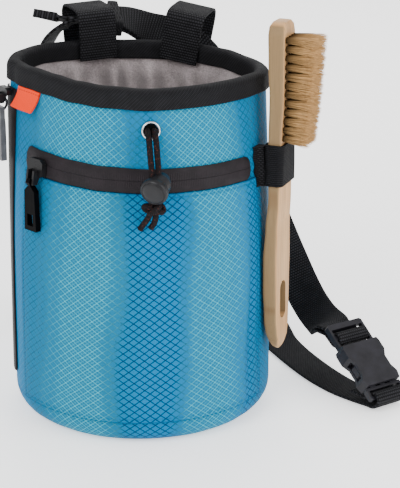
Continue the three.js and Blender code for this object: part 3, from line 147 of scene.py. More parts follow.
BACK_ROUTE = [
    ((-38.4, 55.4, 183.8), (0.11, 0.94, -0.33)), ((-44.5, 66, 172), (0.12, 0.93, -0.33)),
    ((-53, 80, 150), (0.1, 0.97, -0.1)), ((-58, 100, 105), (0.1, 0.97, 0.15)),
    ((-59, 118, 55), (0.1, 0.97, 0.2)), ((-55, 130, 22), (0, 0.98, 0.2)),
    ((-42, 139, 7.5), (-0.05, 0.95, 0.32)), ((-22, 148, 8.6), (0, 0.75, 0.66)),
    ((8, 155, 10.9), (0.1, 0.3, 0.95)), ((40, 145, 11), (0.25, 0.15, 0.96)),
    ((62, 122, 10.5), (0.45, 0.2, 0.87)), ((74, 97, 8.4), (0.7, 0.3, 0.64)),
    ((80, 77, 4.4), (0.88, 0.34, 0.3)), ((83, 58, 1.9), (0.94, 0.33, 0.05)),
    ((87, 42, 1.3), (0.95, 0.3, 0)), ((92.5, 23.5, 1.2), (0.93, 0.36, 0)),
    ((98.4, 7, 1.2), (0.89, 0.45, 0)), ((106, -9, 1.2), (0.87, 0.49, -0.02)),
    ((113, -19.5, 1.4), (0.86, 0.5, -0.03))]
PRONG_ROUTE = [
    (45, -7.6), (48.6, -4.4), (50, -1.4), (49.6, 1.6), (47.6, 3.1), (45.3, 2.9), (43.6, 1.1),
    (43.4, -2), (42.4, -4.8), (39, -7.4), (33.6, -11.2)]
BUCKLE_PLACE, BUCKLE_UP, BUCKLE_ACROSS = (105.9, -2.3, 35.2), (-0.39, 0.69, 0.61), (0.86, 0.51, -0.03)
# Shape of a belt loop as shares of its depth and height: arch from the inside leg over the rim,
# and foot of the outside leg.
LOOP_ARCH = [
    (0, -0.62), (0, -0.13), (0, 0.62), (0.02, 0.88), (0.11, 1), (0.52, 1.05), (0.9, 1), (1, 0.8),
    (0.98, 0), (0.9, -0.55), (0.87, -0.95), (0.84, -1.45)]
LOOP_FOOT = [(0.1, -1.95), (0.015, -2.35)]
# Keeper: place on the doubled stretch, counted in route points, and its sections: half width,
# half thickness and place as a share of half its length.
KEEPER_AT = 1.73
KEEPER_SECTIONS = [
    (11.05, 3.2, -1), (12.05, 4.2, -1), (12.15, 4.3, -0.5), (12.15, 4.3, 0.5), (12.05, 4.2, 1),
    (11.05, 3.2, 1)]
BELT_LOOPS = {"belt_loop_left": (-159.5, -2), "belt_loop_right": (151.5, 10)}

# Drawcord: each strand leaves the eyelet, runs through the lock and the knot, and ends bare.
STRAND_LEFT = [
    (-1.6, -57.2, 159.4), (-1.6, -61.5, 158.6), (-1.6, -65.8, 155.4), (-1.5, -69.2, 150.2),
    (-1.2, -71.4, 144.6), (-1.1, -72.4, 138), (-1.2, -72.2, 131.5), (-1.6, -71.2, 125.5),
    (-2.6, -69.4, 120.7), (-4.4, -67.4, 117.2), (-6.4, -65.6, 113.6)]
STRAND_RIGHT = [
    (1.6, -57.2, 159.4), (1.6, -61.6, 158.6), (1.7, -65.9, 155.4), (1.8, -69.2, 150.2),
    (2.0, -71.4, 144.4), (1.9, -72.4, 138), (1.4, -72.2, 131.5), (0.9, -71.2, 125.5),
    (0.7, -69.6, 120.6), (0.2, -67.8, 117.2), (-1.2, -66, 114.2)]


# Studio: lamps as name, place, width and power; strength of the sky and of the floor's own glow.
LIGHTS = [
    ("key", (-0.75, -0.9, 0.95), 0.7, 14.0), ("fill", (0.9, -0.8, 0.6), 0.9, 12.0),
    ("back", (0.2, 1.0, 1.0), 0.8, 10.0)]
SKY_STRENGTH, FLOOR_GLOW = 1.25, 0.8
# Camera: place in metres, degrees it looks down and turns right, lens and sensor in millimetres.
CAMERA_PLACE, CAMERA_DOWN, CAMERA_RIGHT = (-0.0741, -0.8468, 0.3767), 19.045, 7.03
CAMERA_LENS, SENSOR_WIDTH = 128.68, 36.0


# User settings
class ChalkBagSizes(bpy.types.PropertyGroup):
    """Sizes that a user would change."""

    cell_width: FloatProperty(
        name="Grid width", description="Width of one diamond of the ripstop grid",
        default=0.00505, min=0.001, unit="LENGTH")
    cell_height: FloatProperty(
        name="Grid height", description="Height of one diamond of the ripstop grid",
        default=0.00386, min=0.001, unit="LENGTH")
    rib_pitch: FloatProperty(
        name="Rib pitch", description="Distance between two ribs of the webbing",
        default=0.0014, min=0.0004, unit="LENGTH")
    cord_diameter: FloatProperty(
        name="Cord diameter", description="Diameter of the drawcord",
        default=0.0029, min=0.001, unit="LENGTH")
    strand_count: IntProperty(
        name="Bristles", description="Number of bristles on the brush", default=6200, min=100)
    strand_width: FloatProperty(
        name="Bristle width", description="Thickness of one bristle",
        default=0.00026, min=0.00005, unit="LENGTH")


class ChalkBagColours(bpy.types.PropertyGroup):
    """Colours that a user would change, as linear values."""

    # The first two cloth colours are one ripstop, painted lit and painted in shade where it turns away from
    # the light.
    cloth: FloatVectorProperty(
        name="Cloth", description="Ripstop where it faces the light",
        subtype="COLOR", size=3, default=(0.0, 0.122, 0.225), min=0, max=1)
    cloth_painted_shade: FloatVectorProperty(
        name="Cloth in folds", description="Ripstop where it turns away",
        subtype="COLOR", size=3, default=(0.0, 0.135, 0.300), min=0, max=1)
    thread_dark: FloatVectorProperty(
        name="Dark thread", description="Grid threads seen against the light",
        subtype="COLOR", size=3, default=(0.0, 0.014, 0.055), min=0, max=1)
    thread_light: FloatVectorProperty(
        name="Light thread", description="Grid threads that catch the light",
        subtype="COLOR", size=3, default=(0.060, 0.470, 0.560), min=0, max=1)
    webbing: FloatVectorProperty(
        name="Webbing", description="Belt, loops and rim binding",
        subtype="COLOR", size=3, default=(0.0030, 0.0030, 0.0034), min=0, max=1)
    fleece: FloatVectorProperty(
        name="Fleece", description="Lining",
        subtype="COLOR", size=3, default=(0.300, 0.262, 0.264), min=0, max=1)
    label: FloatVectorProperty(
        name="Label", description="Side label",
        subtype="COLOR", size=3, default=(0.900, 0.040, 0.0), min=0, max=1)
    bamboo: FloatVectorProperty(
        name="Bamboo", description="Brush handle",
        subtype="COLOR", size=3, default=(0.430, 0.235, 0.100), min=0, max=1)
    bristle: FloatVectorProperty(
        name="Bristle", description="Bristle tips",
        subtype="COLOR", size=3, default=(0.430, 0.250, 0.100), min=0, max=1)


def sizes():
    """The sizes set in the panel."""
    return bpy.context.scene.chalk_bag_sizes


def colours():
    """The colours set in the panel."""
    return bpy.context.scene.chalk_bag_colours


# Numbers and curves
def ease(x, low, high):
    """Smooth step: 3t^2 - 2t^3 of the clamped share of x between low and high."""
    t = np.clip((x - low) / (high - low), 0, 1)
    return t * t * (3 - 2 * t)


def look_up(table, at, column):
    """A table's column at a key, with a smooth step between each two rows."""
    keys = table[:, 0]
    at = np.clip(at, keys[0], keys[-1])
    low = np.clip(np.searchsorted(keys, at, side="right") - 1, 0, len(keys) - 2)
    share = ease(at, keys[low], keys[low + 1])
    return table[low, column] * (1 - share) + table[low + 1, column] * share


def wrap(angle):
    """The angle in degrees brought between -180 and 180."""
    return (np.asarray(angle, float) + 180) % 360 - 180


def unit(v):
    """The vector divided by its length."""
    return v / np.linalg.norm(v, axis=-1, keepdims=True)


def curve_at(points, at):
    """Centripetal Catmull-Rom curve through points, at whole-and-part point numbers."""
    p = np.asarray(points, float)
    p = np.vstack([2 * p[0] - p[1], p, 2 * p[-1] - p[-2]])
    at = np.clip(np.asarray(at, float), 0, len(p) - 3)
    k = np.minimum(at.astype(int), len(p) - 4)
    t = (at - k)[:, None]
    a, b, c, d = p[k], p[k + 1], p[k + 2], p[k + 3]
    s0, s1, s2 = (
        np.sqrt(np.linalg.norm(y - x, axis=1, keepdims=True)) for x, y in ((a, b), (b, c), (c, d)))
    m1 = ((b - a) / s0 - (c - a) / (s0 + s1) + (c - b) / s1) * s1
    m2 = ((c - b) / s1 - (d - b) / (s1 + s2) + (d - c) / s2) * s1
    return b + m1 * t + (-3 * b + 3 * c - 2 * m1 - m2) * t**2 + (2 * b - 2 * c + m1 + m2) * t**3


def even(points, step, *columns):
    """A route resampled at even steps, and its columns with it."""
    fine = np.linspace(0, len(points) - 1, 60 * len(points))
    line = curve_at(points, fine)
    run = np.concatenate([[0], np.cumsum(np.linalg.norm(np.diff(line, axis=0), axis=1))])
    count = max(4, int(run[-1] / step) + 1)
    at = np.interp(np.linspace(0, run[-1], count), run, fine)
    index = np.arange(len(points))
    extra = []
    for column in columns:
        column = np.asarray(column, float)
        if column.ndim == 1:
            extra.append(np.interp(at, index, column))
        else:
            extra.append(np.stack([np.interp(at, index, column[:, i]) for i in range(3)], 1))
    return (curve_at(points, at), np.linspace(0, run[-1], count), *extra)


# The bag's wall
def dents(angle, share, fine):
    """Sum of leaning bell-shaped dents; fine adds the cloth's own folds and a slow ripple."""
    depth = np.zeros(np.broadcast(angle, share).shape)
    for middle, width, height, span, deep, lean in DENTS:
        across = wrap(angle - middle - lean * (share - height)) / width
        depth += deep * BASE_RADIUS * np.exp(-across**2 - ((share - height) / span) ** 2)
    if fine:
        for middle, width, height, span, deep, lean in FOLDS:
            across = wrap(angle - middle - lean * (share - height)) / width
            depth += deep * np.exp(-across**2 - ((share - height) / span) ** 2)
        turn = np.radians(angle)
        ripple = 0.16 * np.sin(13 * turn + 5 * share) + 0.1 * np.sin(29 * turn - 11 * share)
        depth += ripple * np.sin(math.pi * np.clip(share, 0, 1))
    return depth


def wall(angle, height, out=0.0, fine=True):
    """Point of the wall in mm: a circle at the foot that turns into the rim's shaped ellipse."""
    angle, height, out = np.broadcast_arrays(
        np.asarray(angle, float), np.asarray(height, float), np.asarray(out, float))
    share = height / WALL_HEIGHT
    taper = np.maximum(share, 0) ** TAPER_POWER
    half_width = BASE_RADIUS + (RIM_WIDTH / 2 - BINDING_WALL - FIT - BASE_RADIUS) * taper
    half_depth = BASE_RADIUS + (RIM_DEPTH / 2 - BINDING_WALL - FIT - BASE_RADIUS) * taper
    turn = np.radians(angle)
    ellipse = 1 / np.hypot(np.sin(turn) / half_width, np.cos(turn) / half_depth)
    rim = ease(share, 0.5, 1)
    reach = 1 + (look_up(RIM_SHAPE, wrap(angle), 1) - 1) * rim
    lift = look_up(RIM_SHAPE, wrap(angle), 2) * WALL_HEIGHT * rim
    radius = ellipse * reach - dents(angle, share, fine) + out
    return np.stack([radius * np.sin(turn), -radius * np.cos(turn), height + lift], -1)


def bottom_edge(angle, arc, out=0.0):
    """Point of the rounded bottom edge; arc runs from 0 on the floor to a quarter turn."""
    radius = BOTTOM_RADIUS + out
    point = wall(angle, BOTTOM_RADIUS, radius * np.sin(arc) - BOTTOM_RADIUS)
    point[..., 2] = BOTTOM_RADIUS - radius * np.cos(arc)
    return point


def wall_axes(angle, height, out=0.0):
    """Origin on the wall, and unit directions along it, up it and out of it."""
    origin = wall(angle, height, out, fine=False)
    along = wall(angle + 1, height, out, False) - wall(angle - 1, height, out, False)
    along = unit(along * [1, 1, 0])
    up = wall(angle, height + 1, out, False) - wall(angle, height - 1, out, False)
    up = unit(up - along * (up @ along))
    return origin, along, up, np.cross(along, up)


# Surfaces
def surface(name, rings, uv, material, loop=False, caps="fan", attributes=None, sharp=40):
    """A closed mesh of rings of points in mm: rings[i, j] and rings[i + 1, j] make quads, each
    ring closes on itself, and the last ring joins the first, or both ends are capped."""
    points = np.asarray(rings, float) * MM
    rows, count, _ = points.shape
    verts = points.reshape(-1, 3)
    i, j = np.meshgrid(np.arange(rows if loop else rows - 1), np.arange(count), indexing="ij")
    i2, j2 = (i + 1) % rows, (j + 1) % count
    quads = np.stack([i * count + j, i * count + j2, i2 * count + j2, i2 * count + j], -1).reshape(-1, 4)
    uv = np.asarray(uv, float)
    quad_uv = np.stack([uv[i, j], uv[i, j + 1], uv[i + 1, j + 1], uv[i + 1, j]], 2).reshape(-1, 4, 2)
    tris, tri_uv = np.zeros((0, 3), int), np.zeros((0, 3, 2))
    values = {key: np.asarray(value, float).reshape(-1) for key, value in (attributes or {}).items()}
    if not loop:
        k = np.arange(count)
        for row, flip in ((0, True), (rows - 1, False)):
            ids = row * count + k
            if caps == "fan":
                centre = len(verts)
                verts = np.vstack([verts, points[row].mean(0)])
                values = {key: np.append(v, v[ids].mean()) for key, v in values.items()}
                fan = np.stack([np.full(count, centre), ids, np.roll(ids, -1)], 1)
                fan_uv = np.stack([uv[row, :-1] * 0 + uv[row, :-1].mean(0), uv[row, :-1], uv[row, 1:]], 1)
                tris = np.vstack([tris, fan[:, ::-1] if flip else fan])
                tri_uv = np.vstack([tri_uv, fan_uv[:, ::-1] if flip else fan_uv])
            else:
                h = np.arange(count // 2 - 1)
                ladder = np.stack([ids[h], ids[h + 1], ids[count - 2 - h], ids[count - 1 - h]], 1)
                at = np.stack([h, h + 1, count - 2 - h, count - 1 - h], 1)
                quads = np.vstack([quads, ladder[:, ::-1] if flip else ladder])
                quad_uv = np.vstack([quad_uv, uv[row, at[:, ::-1] if flip else at]])
    a, b, c, d = (verts[quads[:, n]] for n in range(4))
    volume = (a * np.cross(b, c)).sum() + (a * np.cross(c, d)).sum()
    if len(tris):
        a, b, c = (verts[tris[:, n]] for n in range(3))
        volume += (a * np.cross(b, c)).sum()
    if volume < 0:
        quads, quad_uv, tris, tri_uv = quads[:, ::-1], quad_uv[:, ::-1], tris[:, ::-1], tri_uv[:, ::-1]
    return mesh_piece(name, verts, quads, tris, np.vstack([quad_uv.reshape(-1, 2), tri_uv.reshape(-1, 2)]),
                      material, values, sharp)


def mesh_piece(name, verts, quads, tris, uv, material, values=None, sharp=40):
    """Puts arrays of points and faces into a mesh object, smooth but for edges over an angle."""
    mesh = bpy.data.meshes.new(name)
    mesh.vertices.add(len(verts))
    mesh.vertices.foreach_set("co", np.ascontiguousarray(verts, np.float32).ravel())
    corners = np.concatenate([quads.ravel(), tris.ravel()])
    totals = np.concatenate([np.full(len(quads), 4), np.full(len(tris), 3)])
    mesh.loops.add(len(corners))
    mesh.loops.foreach_set("vertex_index", np.ascontiguousarray(corners, np.int32))
    mesh.polygons.add(len(totals))
    starts = np.concatenate([[0], np.cumsum(totals)[:-1]])
    mesh.polygons.foreach_set("loop_start", np.ascontiguousarray(starts, np.int32))
    mesh.polygons.foreach_set("loop_total", np.ascontiguousarray(totals, np.int32))
    layer = mesh.uv_layers.new(name="UVMap")
    layer.data.foreach_set("uv", np.ascontiguousarray(uv, np.float32).ravel())
    for key, value in (values or {}).items():
        attribute = mesh.attributes.new(key, "FLOAT", "POINT")
        attribute.data.foreach_set("value", np.ascontiguousarray(value, np.float32))
    mesh.update(calc_edges=True)
    mesh.validate()
    mesh.shade_smooth()
    if sharp:
        mesh.set_sharp_from_angle(angle=math.radians(sharp))
    mesh.materials.append(material)
    piece = bpy.data.objects.new(name, mesh)
    bpy.context.scene.collection.objects.link(piece)
    return piece


def place(piece, slot, *nodes, body="bag"):
    """The piece rides on a body and stands for its solids, which it hides; its slot is not used."""
    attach(piece, body)
    if nodes:
        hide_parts(*nodes)
    return piece


def slab(name, front, back, uv, material, attributes=None, sharp=40):
    """A sheet with a thickness from two grids: each ring runs up the front and down the back."""
    rings = np.concatenate([front, back[:, ::-1]], 1)
    both = np.concatenate([uv, uv[:, ::-1], uv[:, :1]], 1)
    values = {k: np.concatenate([v, v[:, ::-1]], 1) for k, v in (attributes or {}).items()}
    return surface(name, rings, both, material, caps="ladder", attributes=values, sharp=sharp)


def ribbon(name, centres, run, side, width, thickness, material, edge=0.5):
    """Webbing: a flat section with rounded edges, carried along a route; v runs along it."""
    centres = np.asarray(centres, float)
    along = unit(np.gradient(centres, axis=0))
    side = np.asarray(side, float)
    side = unit(side - along * (side * along).sum(1, keepdims=True))
    face = np.cross(side, along)
    turn = np.linspace(0, math.pi, 5)
    bead = 1 - edge / (width / 2)
    a = np.concatenate([-bead - (1 - bead) * np.cos(turn[:3]), np.linspace(-bead, bead, 13)[1:-1],
                        bead + (1 - bead) * np.sin(turn[:3])])
    h = np.concatenate([np.sin(turn[:3]), np.ones(11), np.cos(turn[:3])])
    h[0] = h[-1] = 0.35
    across = np.concatenate([a, a[::-1]])
    lift = np.concatenate([h, -h[::-1]])
    thickness = np.broadcast_to(thickness, len(centres))[:, None, None]
    rings = (centres[:, None] + side[:, None] * (across * width / 2)[None, :, None]
             + face[:, None] * lift[None, :, None] * thickness / 2)
    u = np.append(across, across[0]) * width / 2
    uv = np.stack(np.broadcast_arrays(u[None], np.asarray(run)[:, None]), -1)
    return surface(name, rings, uv, material, caps="ladder", sharp=50)


def tube(name, centres, run, radius, material, closed=False, sides=14):
    """A round section carried along a route by a frame set from one fixed direction."""
    centres = np.asarray(centres, float)
    if closed:
        along = unit(np.roll(centres, -1, 0) - np.roll(centres, 1, 0))
    else:
        along = unit(np.gradient(centres, axis=0))
    first = unit(np.cross(along, np.broadcast_to([0.31, 0.17, 0.94], along.shape)))
    second = np.cross(along, first)
    turn = np.linspace(0, 2 * math.pi, sides, endpoint=False)
    rings = (centres[:, None] + radius * (np.cos(turn)[None, :, None] * first[:, None]
                                          + np.sin(turn)[None, :, None] * second[:, None]))
    if closed:
        run = np.append(run, run[-1] * len(run) / (len(run) - 1))
    u = np.linspace(0, 2 * math.pi * radius, sides + 1)
    uv = np.stack(np.broadcast_arrays(u[None], np.asarray(run)[:, None]), -1)
    return surface(name, rings, uv, material, loop=closed, sharp=60)


def lathe(name, profile, origin, axis, material, sides=64, loop=False):
    """A profile of radius and distance along an axis, turned round it."""
    profile = np.asarray(profile, float)
    axis = unit(np.asarray(axis, float))
    first = unit(np.cross(axis, [0.2, 0.1, 0.97]))
    second = np.cross(axis, first)
    turn = np.linspace(0, 2 * math.pi, sides, endpoint=False)
    ring = np.cos(turn)[:, None] * first + np.sin(turn)[:, None] * second
    rings = np.asarray(origin) + profile[:, 0, None, None] * ring[None] + profile[:, 1, None, None] * axis
    run = np.concatenate([[0], np.cumsum(np.linalg.norm(np.diff(profile, axis=0), axis=1))])
    if loop:
        run = np.append(run, run[-1] + 1)
    uv = np.stack(np.broadcast_arrays(np.linspace(0, 30, sides + 1)[None], run[:, None]), -1)
    return surface(name, rings, uv, material, loop=loop, sharp=35)


# Materials
class Recipe:
    """Builds one procedural material; numbers go straight to sockets, sockets are linked."""

    def __init__(self, name, colour, roughness, metallic=0.0, specular=0.5, sheen=0.0):
        self.material = bpy.data.materials.new(name)
        self.material.use_nodes = True
        self.tree = self.material.node_tree
        self.tree.nodes.clear()
        self.shader = self.tree.nodes.new("ShaderNodeBsdfPrincipled")
        output = self.tree.nodes.new("ShaderNodeOutputMaterial")
        self.tree.links.new(self.shader.outputs[0], output.inputs[0])
        self.shader.inputs["Base Color"].default_value = (*colour, 1)
        self.shader.inputs["Roughness"].default_value = roughness
        self.shader.inputs["Metallic"].default_value = metallic
        self.shader.inputs["Specular IOR Level"].default_value = specular
        if sheen:
            self.shader.inputs["Sheen Weight"].default_value = sheen
            self.shader.inputs["Sheen Roughness"].default_value = 0.5

    def put(self, node, socket, value):
        target = node.inputs[socket]
        if isinstance(value, bpy.types.NodeSocket):
            self.tree.links.new(value, target)
        else:
            target.default_value = value

    def node(self, kind, inputs=None, output=0, **settings):
        made = self.tree.nodes.new(kind)
        for key, value in settings.items():
            setattr(made, key, value)
        for key, value in (inputs or {}).items():
            self.put(made, key, value)
        return made.outputs[output]

    def math(self, operation, first, second=0.0, third=0.0):
        return self.node("ShaderNodeMath", {0: first, 1: second, 2: third}, operation=operation)

    def mix(self, share, first, second):
        first, second = ((*v, 1) if isinstance(v, tuple) and len(v) == 3 else v for v in (first, second))
        return self.node("ShaderNodeMix", {0: share, 6: first, 7: second}, output=2, data_type="RGBA")

    def ramp(self, value, low, high, to_low=0.0, to_high=1.0):
        return self.node("ShaderNodeMapRange", {0: value, 1: low, 2: high, 3: to_low, 4: to_high})

    def uv(self):
        split = self.tree.nodes.new("ShaderNodeSeparateXYZ")
        self.tree.links.new(self.node("ShaderNodeUVMap", uv_map="UVMap"), split.inputs[0])
        return split.outputs[0], split.outputs[1]

    def place(self):
        return self.node("ShaderNodeTexCoord", output=3)

    def attribute(self, name):
        return self.node("ShaderNodeAttribute", attribute_name=name, output=2)

    def noise(self, vector, scale, detail=3.0, roughness=0.6):
        return self.node("ShaderNodeTexNoise", {
            "Vector": vector, "Scale": scale, "Detail": detail, "Roughness": roughness})

    def wave(self, value, pitch):
        """|sin(pi x / pitch)|: one rounded rib per pitch."""
        turned = self.math("SINE", self.math("MULTIPLY", value, math.pi / pitch))
        return self.math("ABSOLUTE", turned)

    def colour(self, value):
        self.put(self.shader, "Base Color", value)

    def rough(self, value):
        self.put(self.shader, "Roughness", value)

    def bump(self, height, distance, strength=1.0):
        bumped = self.node("ShaderNodeBump", {
            "Height": height, "Distance": distance, "Strength": strength})
        self.put(self.shader, "Normal", bumped)
        return self.material


def triple(colour, factor=1.0):
    """A colour times a factor, each part at most 1."""
    return tuple(min(1.0, c * factor) for c in colour)


def ripstop(name="ripstop_cloth"):
    """Two sets of slanted threads make a diamond grid over a fine plain weave; thinner threads
    run halfway between them and show where the cloth catches the light."""
    c, s = colours(), sizes()
    r = Recipe(name, c.cloth, 0.55, specular=0.03)
    u, v = r.uv()
    bend = r.math("MULTIPLY", r.math("SUBTRACT", r.noise(r.place(), 24.0, 2.0), 0.5), 1.3)
    ragged = r.math("MULTIPLY", r.math("SUBTRACT", r.noise(r.place(), 700.0, 1.0), 0.5), 0.16)
    across = r.math("MULTIPLY", r.math("ADD", u, ragged), MM / s.cell_width)
    rise = r.math("MULTIPLY", r.math("ADD", v, bend), MM / s.cell_height)
    threads, halves = [], []
    for sign in ("ADD", "SUBTRACT"):
        part = r.math("ABSOLUTE", r.math("SUBTRACT", r.math("FRACT", r.math(sign, across, rise)), 0.5))
        threads.append(r.ramp(part, 0.395, 0.46))
        halves.append(r.ramp(part, 0.075, 0.03))
    glint, tone, grid, seam_shade_and_stitches, fine = (r.attribute(n) for n in ("glint", "tone", "grid", "seam_shade_and_stitches", "fine"))
    thread = r.math("MAXIMUM", threads[0], threads[1])
    half = r.math("MULTIPLY", r.math("MAXIMUM", halves[0], halves[1]), fine)
    crossing = r.math("MULTIPLY", threads[0], threads[1])
    glint = r.math("MULTIPLY", glint, r.ramp(r.noise(r.place(), 420.0, 2.0), 0.3, 0.62, 0.6, 1.1))
    weave = r.math("MULTIPLY", r.wave(u, 0.42), r.wave(v, 0.42))
    # Painted shade: tone mixes the lit cloth towards its shaded copy.
    cloth = r.mix(tone, tuple(c.cloth), tuple(c.cloth_painted_shade))
    cloth = r.mix(r.ramp(weave, 0, 1, 0.12, 0), cloth, triple(c.cloth, 0.3))
    line = r.mix(glint, tuple(c.thread_dark), tuple(c.thread_light))
    shown = r.math("MULTIPLY", thread, r.math("MULTIPLY", grid, r.ramp(glint, 0, 1, 0.9, 0.5)))
    shown = r.math("MAXIMUM", shown, r.math("MULTIPLY", half, r.math("MULTIPLY", grid, 0.34)))
    shown = r.math("ADD", shown, r.math("MULTIPLY", crossing, r.math("MULTIPLY", grid, 0.4)))
    cloth = r.mix(r.math("MINIMUM", shown, 1.0), cloth, line)
    # Painted shade along the seams and the pocket's edge, with the stitches' own dark dashes, mixed towards
    # dark navy.
    r.colour(r.mix(r.math("MULTIPLY", seam_shade_and_stitches, 0.75), cloth, (0.0, 0.03, 0.1)))
    r.rough(r.ramp(thread, 0, 1, 0.58, 0.42))
    lumps = r.math("MULTIPLY", r.noise(r.place(), 95.0, 2.0), 0.5)
    height = r.math("ADD", r.math("MULTIPLY", thread, 0.5), r.math("MULTIPLY", weave, 0.2))
    return r.bump(r.math("ADD", height, lumps), 0.00035, 0.6)


def webbing(name="ribbed_webbing", slant=0.0, pitch=None, depth=1.0, rib_highlight=1.0):
    """Rounded ribs across the strap, each broken into short beads set off by half a bead; the beads are
    painted light on top and nearly black between them, as painted highlight and painted shade.
    """
    c = colours()
    pitch = pitch or sizes().rib_pitch / MM
    r = Recipe(name, c.webbing, 0.72, specular=0.06)
    u, v = r.uv()
    v = r.math("ADD", v, r.math("MULTIPLY", u, slant))
    row = r.math("FLOOR", r.math("MULTIPLY", v, 1 / pitch))
    rib = r.wave(v, pitch)
    bead = r.wave(r.math("ADD", u, r.math("MULTIPLY", row, pitch * 0.5)), pitch)
    weave = r.math("MULTIPLY", rib, r.ramp(bead, 0.1, 0.8, 0.2, 1))
    worn = r.noise(r.place(), 240.0, 4.0)
    lit = r.math("MULTIPLY", weave, r.ramp(worn, 0.3, 0.7, 0.6, 1.1))
    # Painted highlight on the bead tops and painted shade between them, varied at random by the wear noise.
    r.colour(r.mix(lit, triple(c.webbing, 0.02), triple(c.webbing, 8.5 * rib_highlight)))
    r.rough(r.ramp(worn, 0.3, 0.7, 0.62, 0.82))
    return r.bump(r.math("ADD", weave, r.math("MULTIPLY", worn, 0.2)), 0.0004 * depth, 0.9)


def fleece():
    """Short pile: fine noise over soft lumps, lighter where the pile stands up, and painted shade on the
    flanks of the lining's folds.
    """
    c = colours()
    r = Recipe("fleece_pile", c.fleece, 0.95, specular=0.05, sheen=0.35)
    pile = r.noise(r.place(), 1100.0, 3.0, 0.7)
    lump = r.noise(r.place(), 130.0, 3.0)
    tone = r.math("ADD", r.math("MULTIPLY", pile, 0.55), r.math("MULTIPLY", lump, 0.45))
    # Painted shade on the steep flanks of the lining's folds.
    deep = r.attribute("deep")
    shade = r.mix(r.ramp(tone, 0.35, 0.65), triple(c.fleece, 0.62), triple(c.fleece, 1.32))
    r.colour(r.mix(deep, shade, triple(c.fleece, 0.3)))
    return r.bump(tone, 0.0012, 0.8)


def zip_tape(name="zip_tape"):
    """Smooth coated tape over a coil: faint ribs across it, and a line along its middle."""
    r = Recipe(name, (0.012, 0.010, 0.012), 0.5, specular=0.1)
    u, v = r.uv()
    rib = r.wave(u, 0.95)
    near = r.ramp(r.math("ABSOLUTE", v), 4.6, 2.6)
    coil = r.math("MULTIPLY", rib, near)
    middle = r.ramp(r.math("ABSOLUTE", v), 0.28, 0.1)
    worn = r.noise(r.place(), 150.0, 4.0)
    tone = r.mix(r.ramp(worn, 0.3, 0.7), (0.006, 0.005, 0.006), (0.013, 0.010, 0.012))
    tone = r.mix(r.math("MULTIPLY", coil, 0.35), tone, (0.020, 0.016, 0.019))
    r.colour(r.mix(r.math("MULTIPLY", middle, 0.7), tone, (0.005, 0.004, 0.005)))
    height = r.math("SUBTRACT", r.math("MULTIPLY", coil, 0.6), r.math("MULTIPLY", middle, 0.8))
    return r.bump(r.math("ADD", height, r.math("MULTIPLY", worn, 0.25)), 0.0003, 0.8)


def plastic(name, colour, roughness=0.42, specular=0.2):
    """Moulded plastic: a fine grain and a little wear."""
    r = Recipe(name, colour, roughness, specular=specular)
    grain = r.noise(r.place(), 2200.0, 2.0)
    worn = r.noise(r.place(), 160.0, 4.0)
    r.colour(r.mix(r.ramp(worn, 0.35, 0.75), colour, triple(colour, 1.9)))
    r.rough(r.ramp(worn, 0.3, 0.7, roughness - 0.08, roughness + 0.12))
    return r.bump(grain, 0.00006, 0.6)


def steel():
    """Brushed steel with fine scratches."""
    r = Recipe("steel", (0.62, 0.63, 0.64), 0.24, metallic=1.0)
    scratch = r.noise(r.place(), 900.0, 4.0)
    r.colour(r.mix(scratch, (0.5, 0.51, 0.52), (0.78, 0.79, 0.8)))
    r.rough(r.ramp(scratch, 0.3, 0.7, 0.18, 0.36))
    return r.bump(scratch, 0.00003, 0.5)


def braid():
    """Braided sheath: two slanted sets of strands with a few brown flecks."""
    r = Recipe("cord_braid", (0.006, 0.005, 0.006), 0.65, specular=0.08)
    u, v = r.uv()
    left = r.wave(r.math("ADD", r.math("MULTIPLY", u, 0.9), v), 0.72)
    right = r.wave(r.math("SUBTRACT", r.math("MULTIPLY", u, 0.9), v), 0.72)
    strand = r.math("MAXIMUM", r.math("MULTIPLY", left, right), r.math("MULTIPLY", left, 0.35))
    fleck = r.ramp(r.noise(r.place(), 900.0, 2.0), 0.57, 0.66)
    tone = r.mix(strand, (0.0015, 0.0013, 0.0015), (0.016, 0.012, 0.013))
    r.colour(r.mix(r.math("MULTIPLY", fleck, 0.6), tone, (0.085, 0.026, 0.018)))
    return r.bump(strand, 0.0003, 0.9)


def label_cloth():
    """Woven label: fine ribs, and a stitched edge a shade darker."""
    c = colours()
    r = Recipe("label_cloth", c.label, 0.6, specular=0.1)
    u, v = r.uv()
    weave = r.math("MULTIPLY", r.wave(u, 0.5), r.wave(v, 0.4))
    top = r.ramp(r.math("ABSOLUTE", r.math("SUBTRACT", v, 1.5)), 0.35, 0.15)
    stitch = r.math("MULTIPLY", top, r.ramp(r.wave(u, 2.2), 0.35, 0.6))
    tone = r.mix(weave, triple(c.label, 0.72), triple(c.label, 1.12))
    r.colour(r.mix(r.math("MULTIPLY", stitch, 0.8), tone, triple(c.label, 0.45)))
    return r.bump(r.math("ADD", weave, stitch), 0.00018, 0.7)


